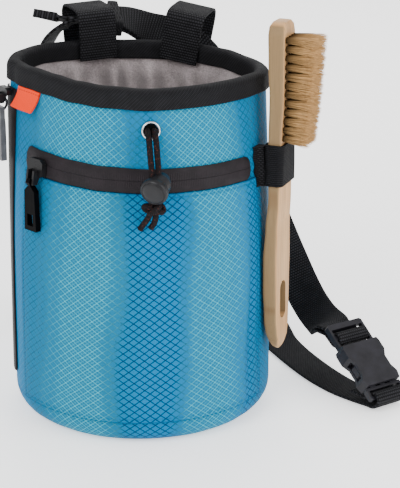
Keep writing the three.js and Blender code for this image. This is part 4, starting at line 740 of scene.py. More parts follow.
def bamboo():
    """Laminated bamboo: strips along the handle, fine fibres, darker flecks and joints, and painted shade on
    the side face turned from the light.
    """
    c = colours()
    r = Recipe("bamboo", c.bamboo, 0.5, specular=0.15)
    turned = r.node("ShaderNodeMapping", {
        "Vector": r.place(), "Rotation": (0, 0, -math.radians(BRUSH_TURN - 90))})
    split = r.tree.nodes.new("ShaderNodeSeparateXYZ")
    r.tree.links.new(turned, split.inputs[0])
    out = split.outputs[1]
    lean = r.math("MULTIPLY", r.noise(r.node("ShaderNodeMapping", {
        "Vector": turned, "Scale": (60, 60, 9)}), 1.0, 2.0), 0.0003)
    layer = r.math("MULTIPLY", r.math("ADD", out, lean), 1 / 0.0026)
    strip = r.node("ShaderNodeTexWhiteNoise", {"W": r.math("FLOOR", layer)}, noise_dimensions="1D")
    joint = r.ramp(r.math("ABSOLUTE", r.math("SUBTRACT", r.math("FRACT", layer), 0.5)), 0.44, 0.49)
    fibre = r.noise(r.node("ShaderNodeMapping", {
        "Vector": turned, "Scale": (2600, 2600, 60)}), 1.0, 3.0)
    cloud = r.noise(r.node("ShaderNodeMapping", {
        "Vector": turned, "Scale": (160, 160, 16)}), 1.0, 3.0)
    tone = r.mix(r.ramp(strip, 0, 1, 0.0, 0.55), triple(c.bamboo, 1.08), triple(c.bamboo, 0.68))
    tone = r.mix(r.ramp(cloud, 0.3, 0.7, 0, 0.4), tone, (0.56, 0.36, 0.17))
    tone = r.mix(r.ramp(fibre, 0.52, 0.7, 0, 0.45), tone, triple(c.bamboo, 0.45))
    # Painted shade: the handle's side face, whose normal points across it, is darkened towards dull brown.
    shaded_side_facing = r.node("ShaderNodeVectorMath", {0: r.node("ShaderNodeTexCoord", output=1),
                    1: tuple(-brush_axes()[0])}, output=1, operation="DOT_PRODUCT")
    side = r.ramp(shaded_side_facing, 0.55, 0.85)
    tone = r.mix(r.math("MULTIPLY", side, 0.7), tone, (0.105, 0.083, 0.045))
    r.colour(r.mix(r.math("MULTIPLY", joint, 0.5), tone, triple(c.bamboo, 0.34)))
    r.rough(r.ramp(fibre, 0.3, 0.7, 0.42, 0.6))
    return r.bump(r.math("SUBTRACT", fibre, joint), 0.00008, 0.6)


def bristle_hair():
    """Golden hairs, dark at the root and pale at the tip, each a little different."""
    c = colours()
    r = Recipe("bristle_hair", c.bristle, 0.55, specular=0.1)
    along, tint = r.attribute("along"), r.attribute("tint")
    tip = r.mix(tint, triple(c.bristle, 0.62), triple(c.bristle, 1.42))
    r.colour(r.mix(r.ramp(along, 0.0, 0.62), triple(c.bristle, 0.07), tip))
    grain = r.noise(r.place(), 3000.0, 2.0)
    return r.bump(grain, 0.00003, 0.4)


def floor_paint():
    """Plain pale studio floor."""
    r = Recipe("studio_floor", (0.93, 0.93, 0.93), 0.65, specular=0.2)
    grain = r.noise(r.place(), 40.0, 2.0)
    r.colour(r.mix(grain, (0.925, 0.925, 0.925), (0.935, 0.935, 0.935)))
    r.put(r.shader, "Emission Color", (1.0, 1.0, 1.0, 1.0))
    r.put(r.shader, "Emission Strength", FLOOR_GLOW)
    return r.material


# Operators
class Builder:
    """Common part of the operators: execute runs build, which makes the pieces."""

    bl_options = {"REGISTER", "UNDO"}

    def execute(self, context):
        self.build(context)
        return {"FINISHED"}


def cloth_values(angle, height, panel=False):
    """Glint as painted highlight, tone as painted shade, grid, fine threads, and seam as stitches with
    painted shade, of the ripstop at each angle and height.
    """
    above = ease(height + 0.15 * angle, *POCKET_TOP_BAND)
    lean = angle + 2.5 * np.sin(height / 31.0 + 1) + 1.2 * np.sin(height / 13.0 + angle / 9)
    low, high = look_up(CLOTH_ZONES, wrap(lean), 1), look_up(CLOTH_ZONES, wrap(lean), 2)
    glint = low * (1 - above) + high * above
    low, high = look_up(CLOTH_ZONES, wrap(lean), 3), look_up(CLOTH_ZONES, wrap(lean), 4)
    tone = low * (1 - above) + high * above
    grid = np.ones_like(glint)
    if not panel:
        plain = ease(angle, -90, -86) * (1 - ease(angle, -67, -64)) * (1 - ease(height, 128, 133))
        grid -= plain
    fine = np.clip(glint + ease(np.abs(angle), 48, 58), 0, 1)
    return {"glint": glint, "tone": tone, "grid": grid, "fine": fine, "seam_shade_and_stitches": np.zeros_like(glint)}


class CHALKBAG_OT_drawcord(Builder, bpy.types.Operator):
    """Build the two strands of the drawcord, their knot, the cord lock and the eyelet"""

    bl_idname = "chalkbag.drawcord"
    bl_label = "Drawcord"

    def build(self, context):
        cloth, diameter = braid(), sizes().cord_diameter
        t = np.linspace(0, 2 * math.pi, 120, endpoint=False)
        loop = np.stack([np.sin(t) + 2 * np.sin(2 * t), np.cos(t) - 2 * np.cos(2 * t), -np.sin(3 * t)], 1)
        loop = np.asarray(KNOT_CENTRE) + loop * KNOT_SCALE + [0.2, 0, 0]
        run = np.concatenate([[0], np.cumsum(np.linalg.norm(np.diff(loop, axis=0), axis=1))])
        knot = place(tube("knot_of_cord", loop, run, KNOT_CORD_RADIUS, cloth, closed=True),
                     "cord", "cord_knot")
        dark = plastic("lock_plastic", (0.005, 0.005, 0.006), 0.36, 0.22)
        lens = plastic("lock_button", (0.003, 0.009, 0.016), 0.3, 0.2)
        r, n, b = LOCK_RADIUS, LOCK_LENGTH, BUTTON_RADIUS
        lip, inner = LOCK_LIP, LOCK_RADIUS * LOCK_BODY_SHARE
        barrel = place(lathe("lock_barrel", [
            (0.01, 0.45), (r * 0.4, 0.3), (r * 0.7, 0.42), (r * 0.77, 0.75), (r * 0.81, 0.95),
            (r * 0.85, 0.75), (r * 0.93, 1.05), (r * 0.985, 1.6), (r, 0.6 * lip), (r, lip),
            (r * 0.97, 1.12 * lip), (inner, 1.3 * lip), (inner, n - 0.4), (inner * 0.95, n),
            (0.01, n)], LOCK_FRONT, LOCK_AXIS, dark), "dark_plastic", "cord_lock_barrel")
        s = n + FIT
        button = place(lathe("lock_button", [
            (0.01, s), (b, s), (b, s + BUTTON_LENGTH * 0.6), (b * 0.93, s + BUTTON_LENGTH * 0.85),
            (b * 0.72, s + BUTTON_LENGTH), (0.01, s + BUTTON_LENGTH)],
            LOCK_FRONT, LOCK_AXIS, lens), "dark_plastic", "cord_lock_button")
        clamped = [knot, barrel, button]
        for side, points, extra in (("left", STRAND_LEFT, clamped), ("right", STRAND_RIGHT, [])):
            line, run = even(points, 0.5)
            strand = tube("drawcord_" + side, line, run, diameter / MM / 2, cloth)
            place(strand, "cord", "draw_cord_" + side, "cord_tail_" + side)
        origin, _, _, outward = wall_axes(0, EYELET_HEIGHT)
        bore, rim = EYELET_BORE / 2, EYELET_DIAMETER / 2
        arc = np.linspace(0, math.pi, 9)
        middle, half = (bore + rim) / 2, (rim - bore) / 2
        roll = np.stack([middle - half * np.cos(arc), FIT + 1.0 * np.sin(arc)], 1)
        sleeve = bore + 0.5
        profile = np.vstack([[bore, -SHELL_WALL], roll, [sleeve, FIT - 0.05], [sleeve, -SHELL_WALL]])
        place(lathe("eyelet_ring", profile, origin, outward, steel(), loop=True), "steel", "eyelet")
        hole = plastic("eyelet_inside", (0.002, 0.002, 0.002), 0.9, 0.02)
        disc = [(0.01, 0.1), (bore - 0.1, 0.1), (bore - 0.1, -0.3), (0.01, -0.3)]
        place(lathe("eyelet_shadow", disc, origin, outward, hole), "ripstop")


class CHALKBAG_OT_cloth(Builder, bpy.types.Operator):
    """Build the ripstop wall, the pocket's front and the sewn edges"""

    bl_idname = "chalkbag.cloth"
    bl_label = "Ripstop"

    def build(self, context):
        cloth = ripstop()
        angle = np.linspace(-180, 180, 289)
        arcs = np.linspace(0, math.pi / 2, 9)
        heights = np.linspace(BOTTOM_RADIUS, WALL_HEIGHT, 84)[1:]
        at = np.concatenate([BOTTOM_RADIUS - BOTTOM_RADIUS * np.cos(arcs), heights])

        def skin(out):
            edge = np.stack([bottom_edge(angle[:-1], a, out) for a in arcs])
            return np.concatenate([edge, wall(angle[None, :-1], heights[:, None], out)])

        rings = np.concatenate([skin(0.0), skin(-SHELL_WALL)[::-1]])
        rows = np.concatenate([at, at[::-1], at[:1]])
        uv = np.stack(np.broadcast_arrays(np.radians(angle)[None] * BASE_RADIUS, rows[:, None]), -1)
        a, h = np.broadcast_arrays(angle[None, :-1], rows[:-1, None])
        values = cloth_values(a, h)
        # Painted shade in the seam along the foot of the wall, left off where the pocket covers it.
        values["seam_shade_and_stitches"] = np.exp(-((h - 12.5) / 0.5) ** 2) * (1 - ease(a, -70, -66) * (1 - ease(a, 56, 59)))
        place(surface("bag_wall", rings, uv, cloth, loop=True, attributes=values), "ripstop", "outer_shell")

        angles = np.linspace(PANEL_START, PANEL_END, 221)
        low = PANEL_BOTTOM_SHARE * WALL_HEIGHT
        top = FRONT_ZIP_HEIGHT - FRONT_ZIP_TILT * angles - TAPE_WIDTH / 2 - FIT
        share = np.linspace(0, 1, 121)
        h = low + (top[:, None] - low) * share[None]
        a = np.broadcast_to(angles[:, None], h.shape)
        from_sides = np.minimum(a - PANEL_START, PANEL_END - a) * MM_PER_DEGREE
        inset = np.minimum(from_sides, np.minimum(h - low, top[:, None] - h))
        puff = 0.55 * (1 - np.exp(-np.maximum(inset, 0) / 6))
        puff -= 0.25 * np.exp(-((inset - STITCH_INSET) / 0.5) ** 2)
        front = wall(a, h, FIT + PANEL_WALL + puff)
        back = wall(a, h, FIT)
        uv = np.stack([np.radians(a) * BASE_RADIUS, h], -1)
        values = cloth_values(a, h, panel=True)
        along_seam = np.where(inset > h - low - 0.5, uv[..., 0], h)
        dash = 0.5 + 0.5 * np.sign(np.sin(2 * math.pi * along_seam / STITCH_PITCH))
        # Stitches: dark dashes along the stitch line over a steady painted shade in its groove; painted shade
        # also at the pocket's edge.
        stitches = np.exp(-((inset - STITCH_INSET) / 0.35) ** 2) * (0.3 + 0.5 * dash)
        values["seam_shade_and_stitches"] = stitches + 0.8 * np.exp(-(inset / 0.5) ** 2)
        place(slab("pocket_front", front, back, uv, cloth, values), "ripstop", "front_pocket_panel")

        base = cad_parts["base_panel"]
        base.data.materials.clear()
        base.data.materials.append(plastic("base_cloth", (0.0, 0.08, 0.16), 0.7, 0.05))


class CHALKBAG_OT_lining(Builder, bpy.types.Operator):
    """Build the fleece lining with its soft folds"""

    bl_idname = "chalkbag.lining"
    bl_label = "Lining"

    def build(self, context):
        angle = np.linspace(-180, 180, 241)
        turn = np.radians(angle[:-1])
        outside, inside = -SHELL_WALL - 2 * FIT, -SHELL_WALL - 2 * FIT - LINING_WALL
        heights = np.linspace(14, WALL_HEIGHT, 72)
        radii = np.array([0.04, 0.3, 0.6, 0.85])

        def skin(out, folds):
            drape = np.zeros((len(heights), len(turn)))
            if folds:
                fade = np.clip((heights - 20) / 60, 0, 1)[:, None] * (1 - ease(heights, 158, 172))[:, None]
                for at, wide, deep in FLEECE_FOLDS:
                    across = wrap(angle[None, :-1] - at - 0.09 * (heights[:, None] - 120)) / wide
                    drape += deep * np.exp(-across**2) * fade
            side = wall(angle[None, :-1], heights[:, None], out - drape, fine=False)
            floor = 2.3 if out == outside else 2.3 + LINING_WALL
            ring = wall(angle[:-1], 14.0, out, False)
            round_edge = [ring * [1, 1, 0] * k + [0, 0, z] for k, z in (
                *((r, floor) for r in radii), (0.93, floor + 0.6), (0.98, floor + 3.5), (0.995, floor + 7))]
            flat = np.zeros((len(round_edge), len(turn)))
            return np.concatenate([np.stack(round_edge), side]), np.concatenate([flat, drape])

        outer, plain = skin(outside, False)
        inner, drape = skin(inside, True)
        rings = np.concatenate([outer, inner[::-1]])
        # Painted shade: how steeply the folds turn, which darkens the fleece.
        deep = np.concatenate([plain, np.gradient(drape, axis=1)[::-1]])
        rows = np.linspace(0, 400, len(rings))
        uv = np.stack(np.broadcast_arrays(angle[None], rows[:, None]), -1)
        values = {"deep": np.clip(np.abs(deep) * 1.4 - 0.1, 0, 0.75)}
        place(surface("fleece_inside", rings, uv, fleece(), attributes=values), "fleece", "fleece_lining")


class CHALKBAG_OT_binding(Builder, bpy.types.Operator):
    """Build the webbing binding folded over the rim"""

    bl_idname = "chalkbag.binding"
    bl_label = "Rim binding"

    def build(self, context):
        angle = np.linspace(-180, 180, 361)
        outer = FIT + BINDING_WALL
        inner = -SHELL_WALL - LINING_WALL - 3 * FIT - BINDING_WALL
        arc = np.linspace(0, math.pi, 15)
        middle, half = (outer + inner) / 2, (outer - inner) / 2
        top = [(middle + half * np.sign(np.cos(t)) * abs(np.cos(t)) ** 0.8,
                -1.75 * math.sin(t) ** 0.7 + 1.6 * (1 - math.sin(t))) for t in arc]
        front = [(outer, d) for d in np.linspace(BINDING_HEIGHT - 0.3, 2.2, 9)]
        rear = [(inner, d) for d in np.linspace(2.2, BINDING_HEIGHT - 0.3, 9)]
        profile = ([(outer - 0.3, BINDING_HEIGHT)] + front + top + rear + [(inner + 0.3, BINDING_HEIGHT)]
                   + [(inner + 1.1, BINDING_HEIGHT), (inner + BINDING_WALL, 5),
                      (inner + BINDING_WALL, -0.3), (outer - BINDING_WALL, -0.3),
                      (outer - BINDING_WALL, 5), (outer - 1.1, BINDING_HEIGHT)])
        profile = np.array(profile)
        ripple = 0.18 * np.sin(np.radians(angle[:-1]) * 23) + 0.12 * np.sin(np.radians(angle[:-1]) * 41 + 1)
        low = np.clip(profile[:, 1] / BINDING_HEIGHT, 0, 1)[:, None]
        out = profile[:, 0, None] + ripple[None] * (profile[:, 0, None] > middle) * low * 0.5
        height = WALL_HEIGHT - profile[:, 1, None] + 0.25 * ripple[None] * low
        rings = wall(angle[None, :-1], height, out, fine=False)
        run = np.concatenate([[0], np.cumsum(np.linalg.norm(np.diff(profile, axis=0), axis=1))])
        run = np.append(run, run[-1] + 1)
        uv = np.stack(np.broadcast_arrays(run[:, None], np.radians(angle)[None] * 62), -1)
        cloth = webbing("twill_binding", slant=0.9, pitch=1.0, depth=0.6, rib_highlight=0.9)
        place(surface("rim_tape", rings, uv, cloth, loop=True, sharp=70), "webbing", "rim_binding")


class CHALKBAG_OT_zips(Builder, bpy.types.Operator):
    """Build the zip tapes and finish the sliders, the ring and the pullers"""

    bl_idname = "chalkbag.zips"
    bl_label = "Zips"

    def build(self, context):
        tape = zip_tape()
        per_mm = 180 / (math.pi * BASE_RADIUS)
        ends = np.array([0, 0.06, 0.2, 0.45, 0.75, 1.0]) * 5.4 * per_mm
        straight = np.linspace(FRONT_ZIP_START + ends[-1], FRONT_ZIP_END - ends[-1], 170)[1:-1]
        angles = np.concatenate([FRONT_ZIP_START + ends, straight, FRONT_ZIP_END - ends[::-1]])
        inside = np.minimum(np.minimum(angles - FRONT_ZIP_START, FRONT_ZIP_END - angles) / per_mm, 3.2)
        half = TAPE_WIDTH / 2 - (3.2 - np.sqrt(np.maximum(0, 3.2**2 - (3.2 - inside) ** 2)))
        across = np.linspace(-1, 1, 17)
        h = FRONT_ZIP_HEIGHT - FRONT_ZIP_TILT * angles[:, None] + half[:, None] * across
        a = np.broadcast_to(angles[:, None], h.shape)
        crown = TAPE_WALL - 0.45 * np.abs(across) ** 6
        uv = np.stack([a / per_mm, half[:, None] * across], -1)
        place(slab("front_tape", wall(a, h, FIT + crown), wall(a, h, FIT), uv, tape),
              "zip_tape", "front_zip_tape")

        heights = np.linspace(SIDE_ZIP_BOTTOM, SIDE_ZIP_TOP, 150)
        a = SIDE_ZIP_ANGLE + across[None] * TAPE_WIDTH / 2 * per_mm
        h = np.broadcast_to(heights[:, None], (150, 17))
        a = np.broadcast_to(a, h.shape)
        uv = np.stack([h, np.broadcast_to(across * TAPE_WIDTH / 2, h.shape)], -1)
        place(slab("side_tape", wall(a, h, FIT + crown), wall(a, h, FIT), uv, tape),
              "zip_tape", "side_zip_tape")
        dark = plastic("slider_enamel", (0.004, 0.004, 0.0045), 0.32, 0.16)
        finishes = {
            "front_zip_slider": dark,
            "front_zip_puller": plastic("puller_dark", (0.0006, 0.0006, 0.0008), 0.4, 0.03),
            "side_zip_slider": dark,
            "side_zip_ring": plastic("ring_gunmetal", (0.022, 0.022, 0.026), 0.3, 0.3),
            # The side puller is the same dark puller as the front's, coloured grey as a painted highlight.
            "side_zip_puller": plastic("puller_painted_highlight", (0.060, 0.060, 0.064), 0.4, 0.2)}
        for name, material in finishes.items():
            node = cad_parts[name]
            node.data.materials.clear()
            node.data.materials.append(material)


class CHALKBAG_OT_label(Builder, bpy.types.Operator):
    """Build the bare side label"""

    bl_idname = "chalkbag.label"
    bl_label = "Label"

    def build(self, context):
        half = LABEL_WIDTH / 2 * 180 / (math.pi * RIM_WIDTH / 2)
        row, across = np.meshgrid(np.linspace(0, 1, 25), np.linspace(-1, 1, 41), indexing="ij")
        top = WALL_HEIGHT - BINDING_HEIGHT - FIT
        curl = 0.35 * np.abs(across) ** 3 * row
        out = FIT + 3.2 * row**2 - curl
        a = LABEL_ANGLE + across * half - 2.6 * row
        h = top - LABEL_HEIGHT * row
        uv = np.stack([across * LABEL_WIDTH / 2, row * LABEL_HEIGHT], -1)
        front, back = wall(a, h, out + LABEL_WALL, False), wall(a, h, out, False)
        place(slab("side_tag", front, back, uv, label_cloth()), "label", "side_label")


def buckle_axes():
    """Directions across the buckle, along it towards the ladder bar, and out of its face."""
    up = unit(np.asarray(BUCKLE_UP, float))
    across = np.asarray(BUCKLE_ACROSS, float)
    across = unit(across - up * (across @ up))
    return across, up, np.cross(across, up)


def pair_layer(lift):
    """One layer of the doubled stretch: the middle route moved along the strap's face."""
    places = np.array([p for p, _ in PAIR_ROUTE], float)
    side = unit(np.array([s for _, s in PAIR_ROUTE], float))
    at = np.arange(len(places), dtype=float)
    along = unit(curve_at(places, at + 1e-3) - curve_at(places, at - 1e-3))
    face = unit(np.cross(side, -along))
    return places + lift * LAYER_PITCH * face, side


class CHALKBAG_OT_belt(Builder, bpy.types.Operator):
    """Build the belt loops, the belt with its hem, and the keeper, and finish the buckle"""

    bl_idname = "chalkbag.belt"
    bl_label = "Belt"

    def build(self, context):
        cloth = webbing()
        across, up, face = buckle_axes()

        def in_buckle(route):
            return np.array([np.asarray(BUCKLE_PLACE) - d * up + h * face for d, h in route])

        def places_and_sides(rows):
            return np.array([r[0] for r in rows], float), unit(np.array([r[1] for r in rows], float))

        upper, side = pair_layer(0.5)
        lower, _ = pair_layer(-0.5)
        tail, tail_side = places_and_sides(TAIL_END)
        back, back_side = places_and_sides(BACK_ROUTE)
        ladder, prong = in_buckle(LADDER_ROUTE), in_buckle(PRONG_ROUTE)
        points = np.vstack([tail, upper, ladder, lower[::-1], back, prong])
        sides = np.vstack([tail_side, side, np.tile(across, (len(ladder), 1)), side[::-1], back_side,
                           np.tile(across, (len(prong), 1))])
        thick = np.full(len(points), WEBBING_WALL)
        thick[:3] = [r[2] for r in TAIL_END]
        line, run, sides, thick = even(points, 0.9, sides, thick)
        place(ribbon("waist_belt", line, run, sides, WEBBING_WIDTH, thick, cloth), "webbing", "belt")

        inside = SHELL_WALL + LINING_WALL + 3 * FIT + BINDING_WALL
        leg_in = -inside - FIT - WEBBING_WALL / 2 - 1.3
        leg_out = BINDING_WALL + 2 * FIT + WEBBING_WALL / 2
        rows = [(leg_in + LOOP_DEPTH * a, LOOP_HEIGHT * b) for a, b in LOOP_ARCH]
        rows += [(leg_out + LOOP_DEPTH * a, LOOP_HEIGHT * b) for a, b in LOOP_FOOT]
        for name, (angle, lean) in BELT_LOOPS.items():
            rim = wall(angle, WALL_HEIGHT, fine=False)
            chord = wall(angle + 4, WALL_HEIGHT, fine=False) - wall(angle - 4, WALL_HEIGHT, fine=False)
            along = unit(chord * [1, 1, 0])
            outward = np.cross(along, [0, 0, 1])
            turn = math.radians(lean)
            side = along * math.cos(turn) + np.cross(outward, along) * math.sin(turn)
            places = []
            for out, rise in rows:
                near = wall(angle, WALL_HEIGHT + min(rise, 0), fine=False)
                slope = math.hypot(near[0], near[1]) - math.hypot(rim[0], rim[1])
                spot = rim + outward * (out + slope) - along * math.sin(turn) * (rise + BINDING_HEIGHT)
                spot[2] = rim[2] + BINDING_WALL + FIT + rise
                places.append(spot)
            line, run = even(places, 0.6)
            made = ribbon(name + "_strap", line, run, np.tile(side, (len(line), 1)),
                          WEBBING_WIDTH, WEBBING_WALL, cloth)
            place(made, "webbing", name)

        places = np.array([p for p, _ in PAIR_ROUTE], float)
        before = int(KEEPER_AT)
        share = KEEPER_AT - before
        centre = curve_at(places, [KEEPER_AT])[0]
        along = unit(curve_at(places, [KEEPER_AT + 1e-3])[0] - curve_at(places, [KEEPER_AT - 1e-3])[0])
        side = np.asarray(PAIR_ROUTE[before][1]) * (1 - share) + np.asarray(PAIR_ROUTE[before + 1][1]) * share
        side = unit(side - along * (side @ along))
        lift = np.cross(side, along)
        turn = np.linspace(0, 2 * math.pi, 72, endpoint=False)
        cosine, sine = np.cos(turn), np.sin(turn)
        across = (np.sign(cosine) * np.abs(cosine) ** 0.12)[:, None]
        above = (np.sign(sine) * np.abs(sine) ** 0.35)[:, None]
        rings = [centre + a * across * side + b * above * lift + v * KEEPER_LENGTH / 2 * along
                 for a, b, v in KEEPER_SECTIONS]
        run = np.array([0, 1, 2.2, 4.4, 5.6, 6.6, 11.6])
        uv = np.stack(np.broadcast_arrays(np.linspace(0, 60, 73)[None], run[:, None]), -1)
        elastic = webbing("keeper_elastic", pitch=0.8, depth=0.6)
        place(surface("strap_keeper", rings, uv, elastic, loop=True), "webbing", "belt_keeper")
        for name in ("buckle_socket", "buckle_prong"):
            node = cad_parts[name]
            node.data.materials.clear()
            node.data.materials.append(plastic(name + "_plastic", (0.0075, 0.0072, 0.0095), 0.42, 0.2))


def brush_axes():
    """Directions across the handle, up it, and out towards the bristles."""
    turn = math.radians(BRUSH_TURN)
    return (np.array([math.cos(turn), math.sin(turn), 0]), np.array([0, 0, 1.0]),
            np.array([math.sin(turn), -math.cos(turn), 0]))


def in_brush(across, up, out):
    """Point in mm from distances along the handle's three directions."""
    x, y, z = brush_axes()
    return across[..., None] * x + up[..., None] * y + out[..., None] * z


def brush_size(column, height):
    """A column of the handle's sections at a height."""
    rise = (height - BRUSH_BOTTOM) / (BRUSH_TOP - BRUSH_BOTTOM)
    return look_up(BRUSH_SECTIONS, rise, column)


def brush_outline(corner_steps=6):
    """Outline of a rounded rectangle as columns: share of the half width and of the half
    thickness left inside the corners, and direction of the corner's radius."""
    arc = np.linspace(0, math.pi / 2, corner_steps)
    corners = []
    signs = ((1, 1), (-1, 1), (-1, -1), (1, -1))
    for quarter, (x, y) in enumerate(signs):
        turn = arc + quarter * math.pi / 2
        corner = np.stack([np.full_like(arc, x), np.full_like(arc, y), np.cos(turn), np.sin(turn)], 1)
        following = np.array([*signs[(quarter + 1) % 4], corner[-1, 2], corner[-1, 3]])
        shares = np.array([0.08, 0.35, 0.65, 0.92])[:, None]
        corners += [corner, corner[-1] + shares * (following - corner[-1])]
    return np.vstack(corners)


def brush_ring(height, grow, outline):
    """The handle's outline at each height, grown by a distance."""
    half = (brush_size(1, height) * BRUSH_WIDTH / 2 + grow)[:, None]
    low = (BRUSH_OUT + brush_size(2, height) * BRUSH_THICKNESS - grow)[:, None]
    thick = (brush_size(3, height) * BRUSH_THICKNESS + 2 * grow)[:, None] / 2
    radius = np.minimum(np.minimum(half, thick) * 0.8, BRUSH_CORNER + grow)
    x, y, cosine, sine = (outline[:, i][None] for i in range(4))
    across = BRUSH_BACK + x * (half - radius) + cosine * radius
    out = low + thick + y * (thick - radius) + sine * radius
    return in_brush(across, np.broadcast_to(height[:, None], across.shape), out)


class CHALKBAG_OT_brush(Builder, bpy.types.Operator):
    """Build the bamboo handle, its bristles and the elastic holder"""

    bl_idname = "chalkbag.brush"
    bl_label = "Brush"

    def build(self, context):
        turn = brush_outline()
        span = BRUSH_TOP - BRUSH_BOTTOM
        rise = np.unique(np.concatenate([BRUSH_SECTIONS[:, 0], np.linspace(0.06, 0.965, 110)]))
        height = BRUSH_BOTTOM + rise * span
        rings = brush_ring(height, 0.0, turn)
        uv = np.stack(np.broadcast_arrays(np.linspace(0, 56, len(turn) + 1)[None], height[:, None]), -1)
        handle = surface("handle", rings, uv, bamboo(), sharp=0)
        bore = np.linspace(0, 2 * math.pi, 40, endpoint=False)
        radius, straight = SLOT_WIDTH / 2, (SLOT_LENGTH - SLOT_WIDTH) / 2
        across = BRUSH_BACK + radius * np.cos(bore)
        up = SLOT_HEIGHT + radius * np.sin(bore) + straight * np.sign(np.sin(bore) + 1e-9)
        tool_rings = np.stack([
            in_brush(across, up, np.full_like(across, d)) for d in (BRUSH_OUT - 12, BRUSH_OUT + 22)])
        tool = surface("slot_tool", tool_rings, np.zeros((2, 41, 2)), handle.data.materials[0], sharp=0)
        cut = handle.modifiers.new("slot", "BOOLEAN")
        cut.object, cut.operation, cut.solver = tool, "DIFFERENCE", "EXACT"
        whole = bpy.data.meshes.new_from_object(handle.evaluated_get(bpy.context.evaluated_depsgraph_get()))
        handle.modifiers.clear()
        handle.data = whole
        whole.set_sharp_from_angle(angle=math.radians(45))
        bpy.data.objects.remove(tool)
        place(handle, "bamboo", "brush_handle")

        rng = np.random.default_rng(7)
        count, rows, columns = sizes().strand_count, 12, 4
        tuft = rng.integers(0, rows * columns, count)
        row, column = tuft // columns, tuft % columns
        pitch_up, pitch_across = (BRISTLE_TOP - BRISTLE_BOTTOM) / rows, BRISTLE_SPAN / columns
        radius, spin = np.sqrt(rng.random(count)), rng.random(count) * 2 * math.pi
        cx = (column + 0.5) * pitch_across - BRISTLE_SPAN / 2
        cz = BRISTLE_BOTTOM + (row + 0.5) * pitch_up
        dx, dz = radius * np.cos(spin), radius * np.sin(spin)
        length = BRISTLE_LENGTH * (0.8 + 0.2 * row / (rows - 1)) * (1 + 0.035 * rng.standard_normal(count))
        length = length * (1 - 0.05 * radius**2)
        root = in_brush(BRUSH_BACK + cx + 1.45 * dx, cz + 1.5 * dz, np.zeros(count))
        face = BRUSH_OUT + (brush_size(2, cz) + brush_size(3, cz)) * BRUSH_THICKNESS + 0.1
        x, y, z = brush_axes()
        root = root + face[:, None] * z
        lean_x = (2.1 * dx - 1.45 * dx + 0.05 * cx + 0.35 * rng.standard_normal(count)) / length
        lean_z = (2.35 * dz - 1.5 * dz - 0.35 + 0.45 * rng.standard_normal(count)) / length
        bend = 0.35 * rng.standard_normal((count, 2))
        steps = np.linspace(0, 1, 5)
        width = sizes().strand_width / MM / 2 * np.array([1, 1, 0.95, 0.8, 0.35])
        t = steps[None, :, None]
        spine = (root[:, None] + t * length[:, None, None] * z
                 + (t * lean_x[:, None, None] * length[:, None, None] + t**2 * bend[:, :1, None]) * x
                 + (t * lean_z[:, None, None] * length[:, None, None] + t**2 * bend[:, 1:, None]) * y)
        corner = np.radians([90, 210, 330])
        offset = np.cos(corner)[:, None] * x + np.sin(corner)[:, None] * y
        points = spine[:, :, None] + width[None, :, None, None] * offset[None, None]
        n, m, k = points.shape[:3]
        base = (np.arange(n) * m * k)[:, None, None]
        i, j = np.arange(m - 1)[None, :, None], np.arange(k)[None, None]
        low, high, beside = base + i * k, base + (i + 1) * k, (j + 1) % k
        quads = np.stack([low + j, low + beside, high + beside, high + j], -1).reshape(-1, 4)
        first = np.arange(n)[:, None] * m * k
        tris = np.concatenate([first + [0, 2, 1], first + (m - 1) * k + [0, 1, 2]])
        values = {"along": np.broadcast_to(steps[None, :, None], (n, m, k)).reshape(-1),
                  "tint": np.broadcast_to(rng.random(n)[:, None, None], (n, m, k)).reshape(-1)}
        if np.dot(np.cross(x, y), z) < 0:
            quads, tris = quads[:, ::-1], tris[:, ::-1]
        uv = np.zeros((quads.size + tris.size, 2))
        strands = mesh_piece("bristles", points.reshape(-1, 3) * MM, quads, tris, uv, bristle_hair(),
                             values, sharp=0)
        place(strands, "bristle", "brush_bristles")

        ribs = webbing("ribbed_elastic", pitch=1.0, depth=1.3, rib_highlight=0.8)
        height = np.linspace(HOLDER_BOTTOM, HOLDER_BOTTOM + HOLDER_HEIGHT, 44)
        outer = brush_ring(height, FIT + HOLDER_WALL, turn)
        inner = brush_ring(height, FIT, turn)
        rings = np.concatenate([outer, inner[::-1]])
        rows = np.concatenate([height, height[::-1] + 30, height[:1]])
        around = np.linspace(0, 56, len(turn) + 1)
        uv = np.stack(np.broadcast_arrays(around[None], rows[:, None]), -1)
        place(surface("elastic_sleeve", rings, uv, ribs, loop=True, sharp=60), "elastic", "brush_holder")
        start, stop = PANEL_END + 0.7, PANEL_END + 7
        rise = np.linspace(HOLDER_BOTTOM, HOLDER_BOTTOM + HOLDER_HEIGHT, 60)
        a, h = np.meshgrid(np.linspace(start, stop, 20), rise, indexing="ij")
        wavy = 0.5 * np.sin(h * 0.9) * (1 - ease(a, start, start + 2))
        thick = HOLDER_WALL + 2.7 * ease(a, start + 1.6, start + 3.2)
        front, back = wall(a + wavy, h, FIT + thick, False), wall(a + wavy, h, FIT, False)
        uv = np.stack([np.radians(a) * BASE_RADIUS, h], -1)
        place(slab("elastic_flange", front, back, uv, ribs), "elastic")


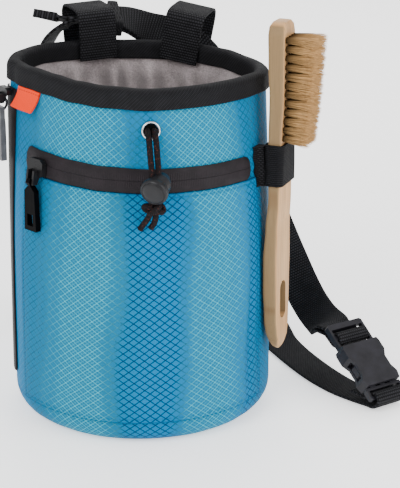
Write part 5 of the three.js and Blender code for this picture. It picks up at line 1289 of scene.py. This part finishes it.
class CHALKBAG_OT_stage(Builder, bpy.types.Operator):
    """Build the floor, the sky and the lights"""

    bl_idname = "chalkbag.stage"
    bl_label = "Stage"

    def build(self, context):
        verts = np.array([(-5, -5, 0), (5, -5, 0), (5, 5, 0), (-5, 5, 0)], float)
        floor = mesh_piece("floor", verts, np.array([[0, 1, 2, 3]]), np.zeros((0, 3), int), verts[:, :2],
                           floor_paint(), sharp=0)
        world = bpy.data.worlds.new("studio")
        world.use_nodes = True
        sky = world.node_tree.nodes["Background"]
        sky.inputs[0].default_value = (1, 1, 1, 1)
        sky.inputs[1].default_value = SKY_STRENGTH
        context.scene.world = world
        for name, spot, size, energy in LIGHTS:
            light = bpy.data.lights.new(name, "AREA")
            light.energy, light.size = energy, size
            lamp = bpy.data.objects.new(name, light)
            lamp.location = spot
            aim = np.array([0, 0, 0.1]) - np.asarray(spot)
            tilt, turn = math.atan2(math.hypot(aim[0], aim[1]), -aim[2]), math.atan2(aim[1], aim[0])
            lamp.rotation_euler = Euler((tilt, 0, turn - math.pi / 2))
            context.scene.collection.objects.link(lamp)


class CHALKBAG_OT_camera(Builder, bpy.types.Operator):
    """Place the camera at the photo's viewing angle"""

    bl_idname = "chalkbag.camera"
    bl_label = "Camera"

    def build(self, context):
        data = bpy.data.cameras.new("camera")
        data.lens, data.sensor_width = CAMERA_LENS, SENSOR_WIDTH
        camera = bpy.data.objects.new("camera", data)
        camera.location = CAMERA_PLACE
        camera.rotation_euler = Euler((math.radians(90 - CAMERA_DOWN), 0, math.radians(-CAMERA_RIGHT)))
        context.scene.collection.objects.link(camera)
        context.scene.camera = camera


class CHALKBAG_PT_panel(bpy.types.Panel):
    """Sizes, colours and build steps of the chalk bag"""

    bl_label = "Chalk Bag"
    bl_idname = "CHALKBAG_PT_panel"
    bl_space_type = "VIEW_3D"
    bl_region_type = "UI"
    bl_category = "Chalk Bag"

    def draw(self, context):
        for group in (context.scene.chalk_bag_sizes, context.scene.chalk_bag_colours):
            for key in group.__annotations__:
                self.layout.prop(group, key)
        for step in STEPS:
            self.layout.operator(step.bl_idname)


STEPS = (
    CHALKBAG_OT_camera, CHALKBAG_OT_drawcord, CHALKBAG_OT_cloth, CHALKBAG_OT_lining,
    CHALKBAG_OT_binding, CHALKBAG_OT_zips, CHALKBAG_OT_label, CHALKBAG_OT_belt, CHALKBAG_OT_brush,
    CHALKBAG_OT_stage)
CLASSES = (ChalkBagSizes, ChalkBagColours, *STEPS, CHALKBAG_PT_panel)


def register():
    for cls in CLASSES:
        bpy.utils.register_class(cls)
    bpy.types.Scene.chalk_bag_sizes = PointerProperty(type=ChalkBagSizes)
    bpy.types.Scene.chalk_bag_colours = PointerProperty(type=ChalkBagColours)


def unregister():
    del bpy.types.Scene.chalk_bag_colours
    del bpy.types.Scene.chalk_bag_sizes
    for cls in reversed(CLASSES):
        bpy.utils.unregister_class(cls)


def main():
    register()
    for step in STEPS:
        getattr(bpy.ops.chalkbag, step.bl_idname.split(".")[1])()


if __name__ == "__main__":
    main()
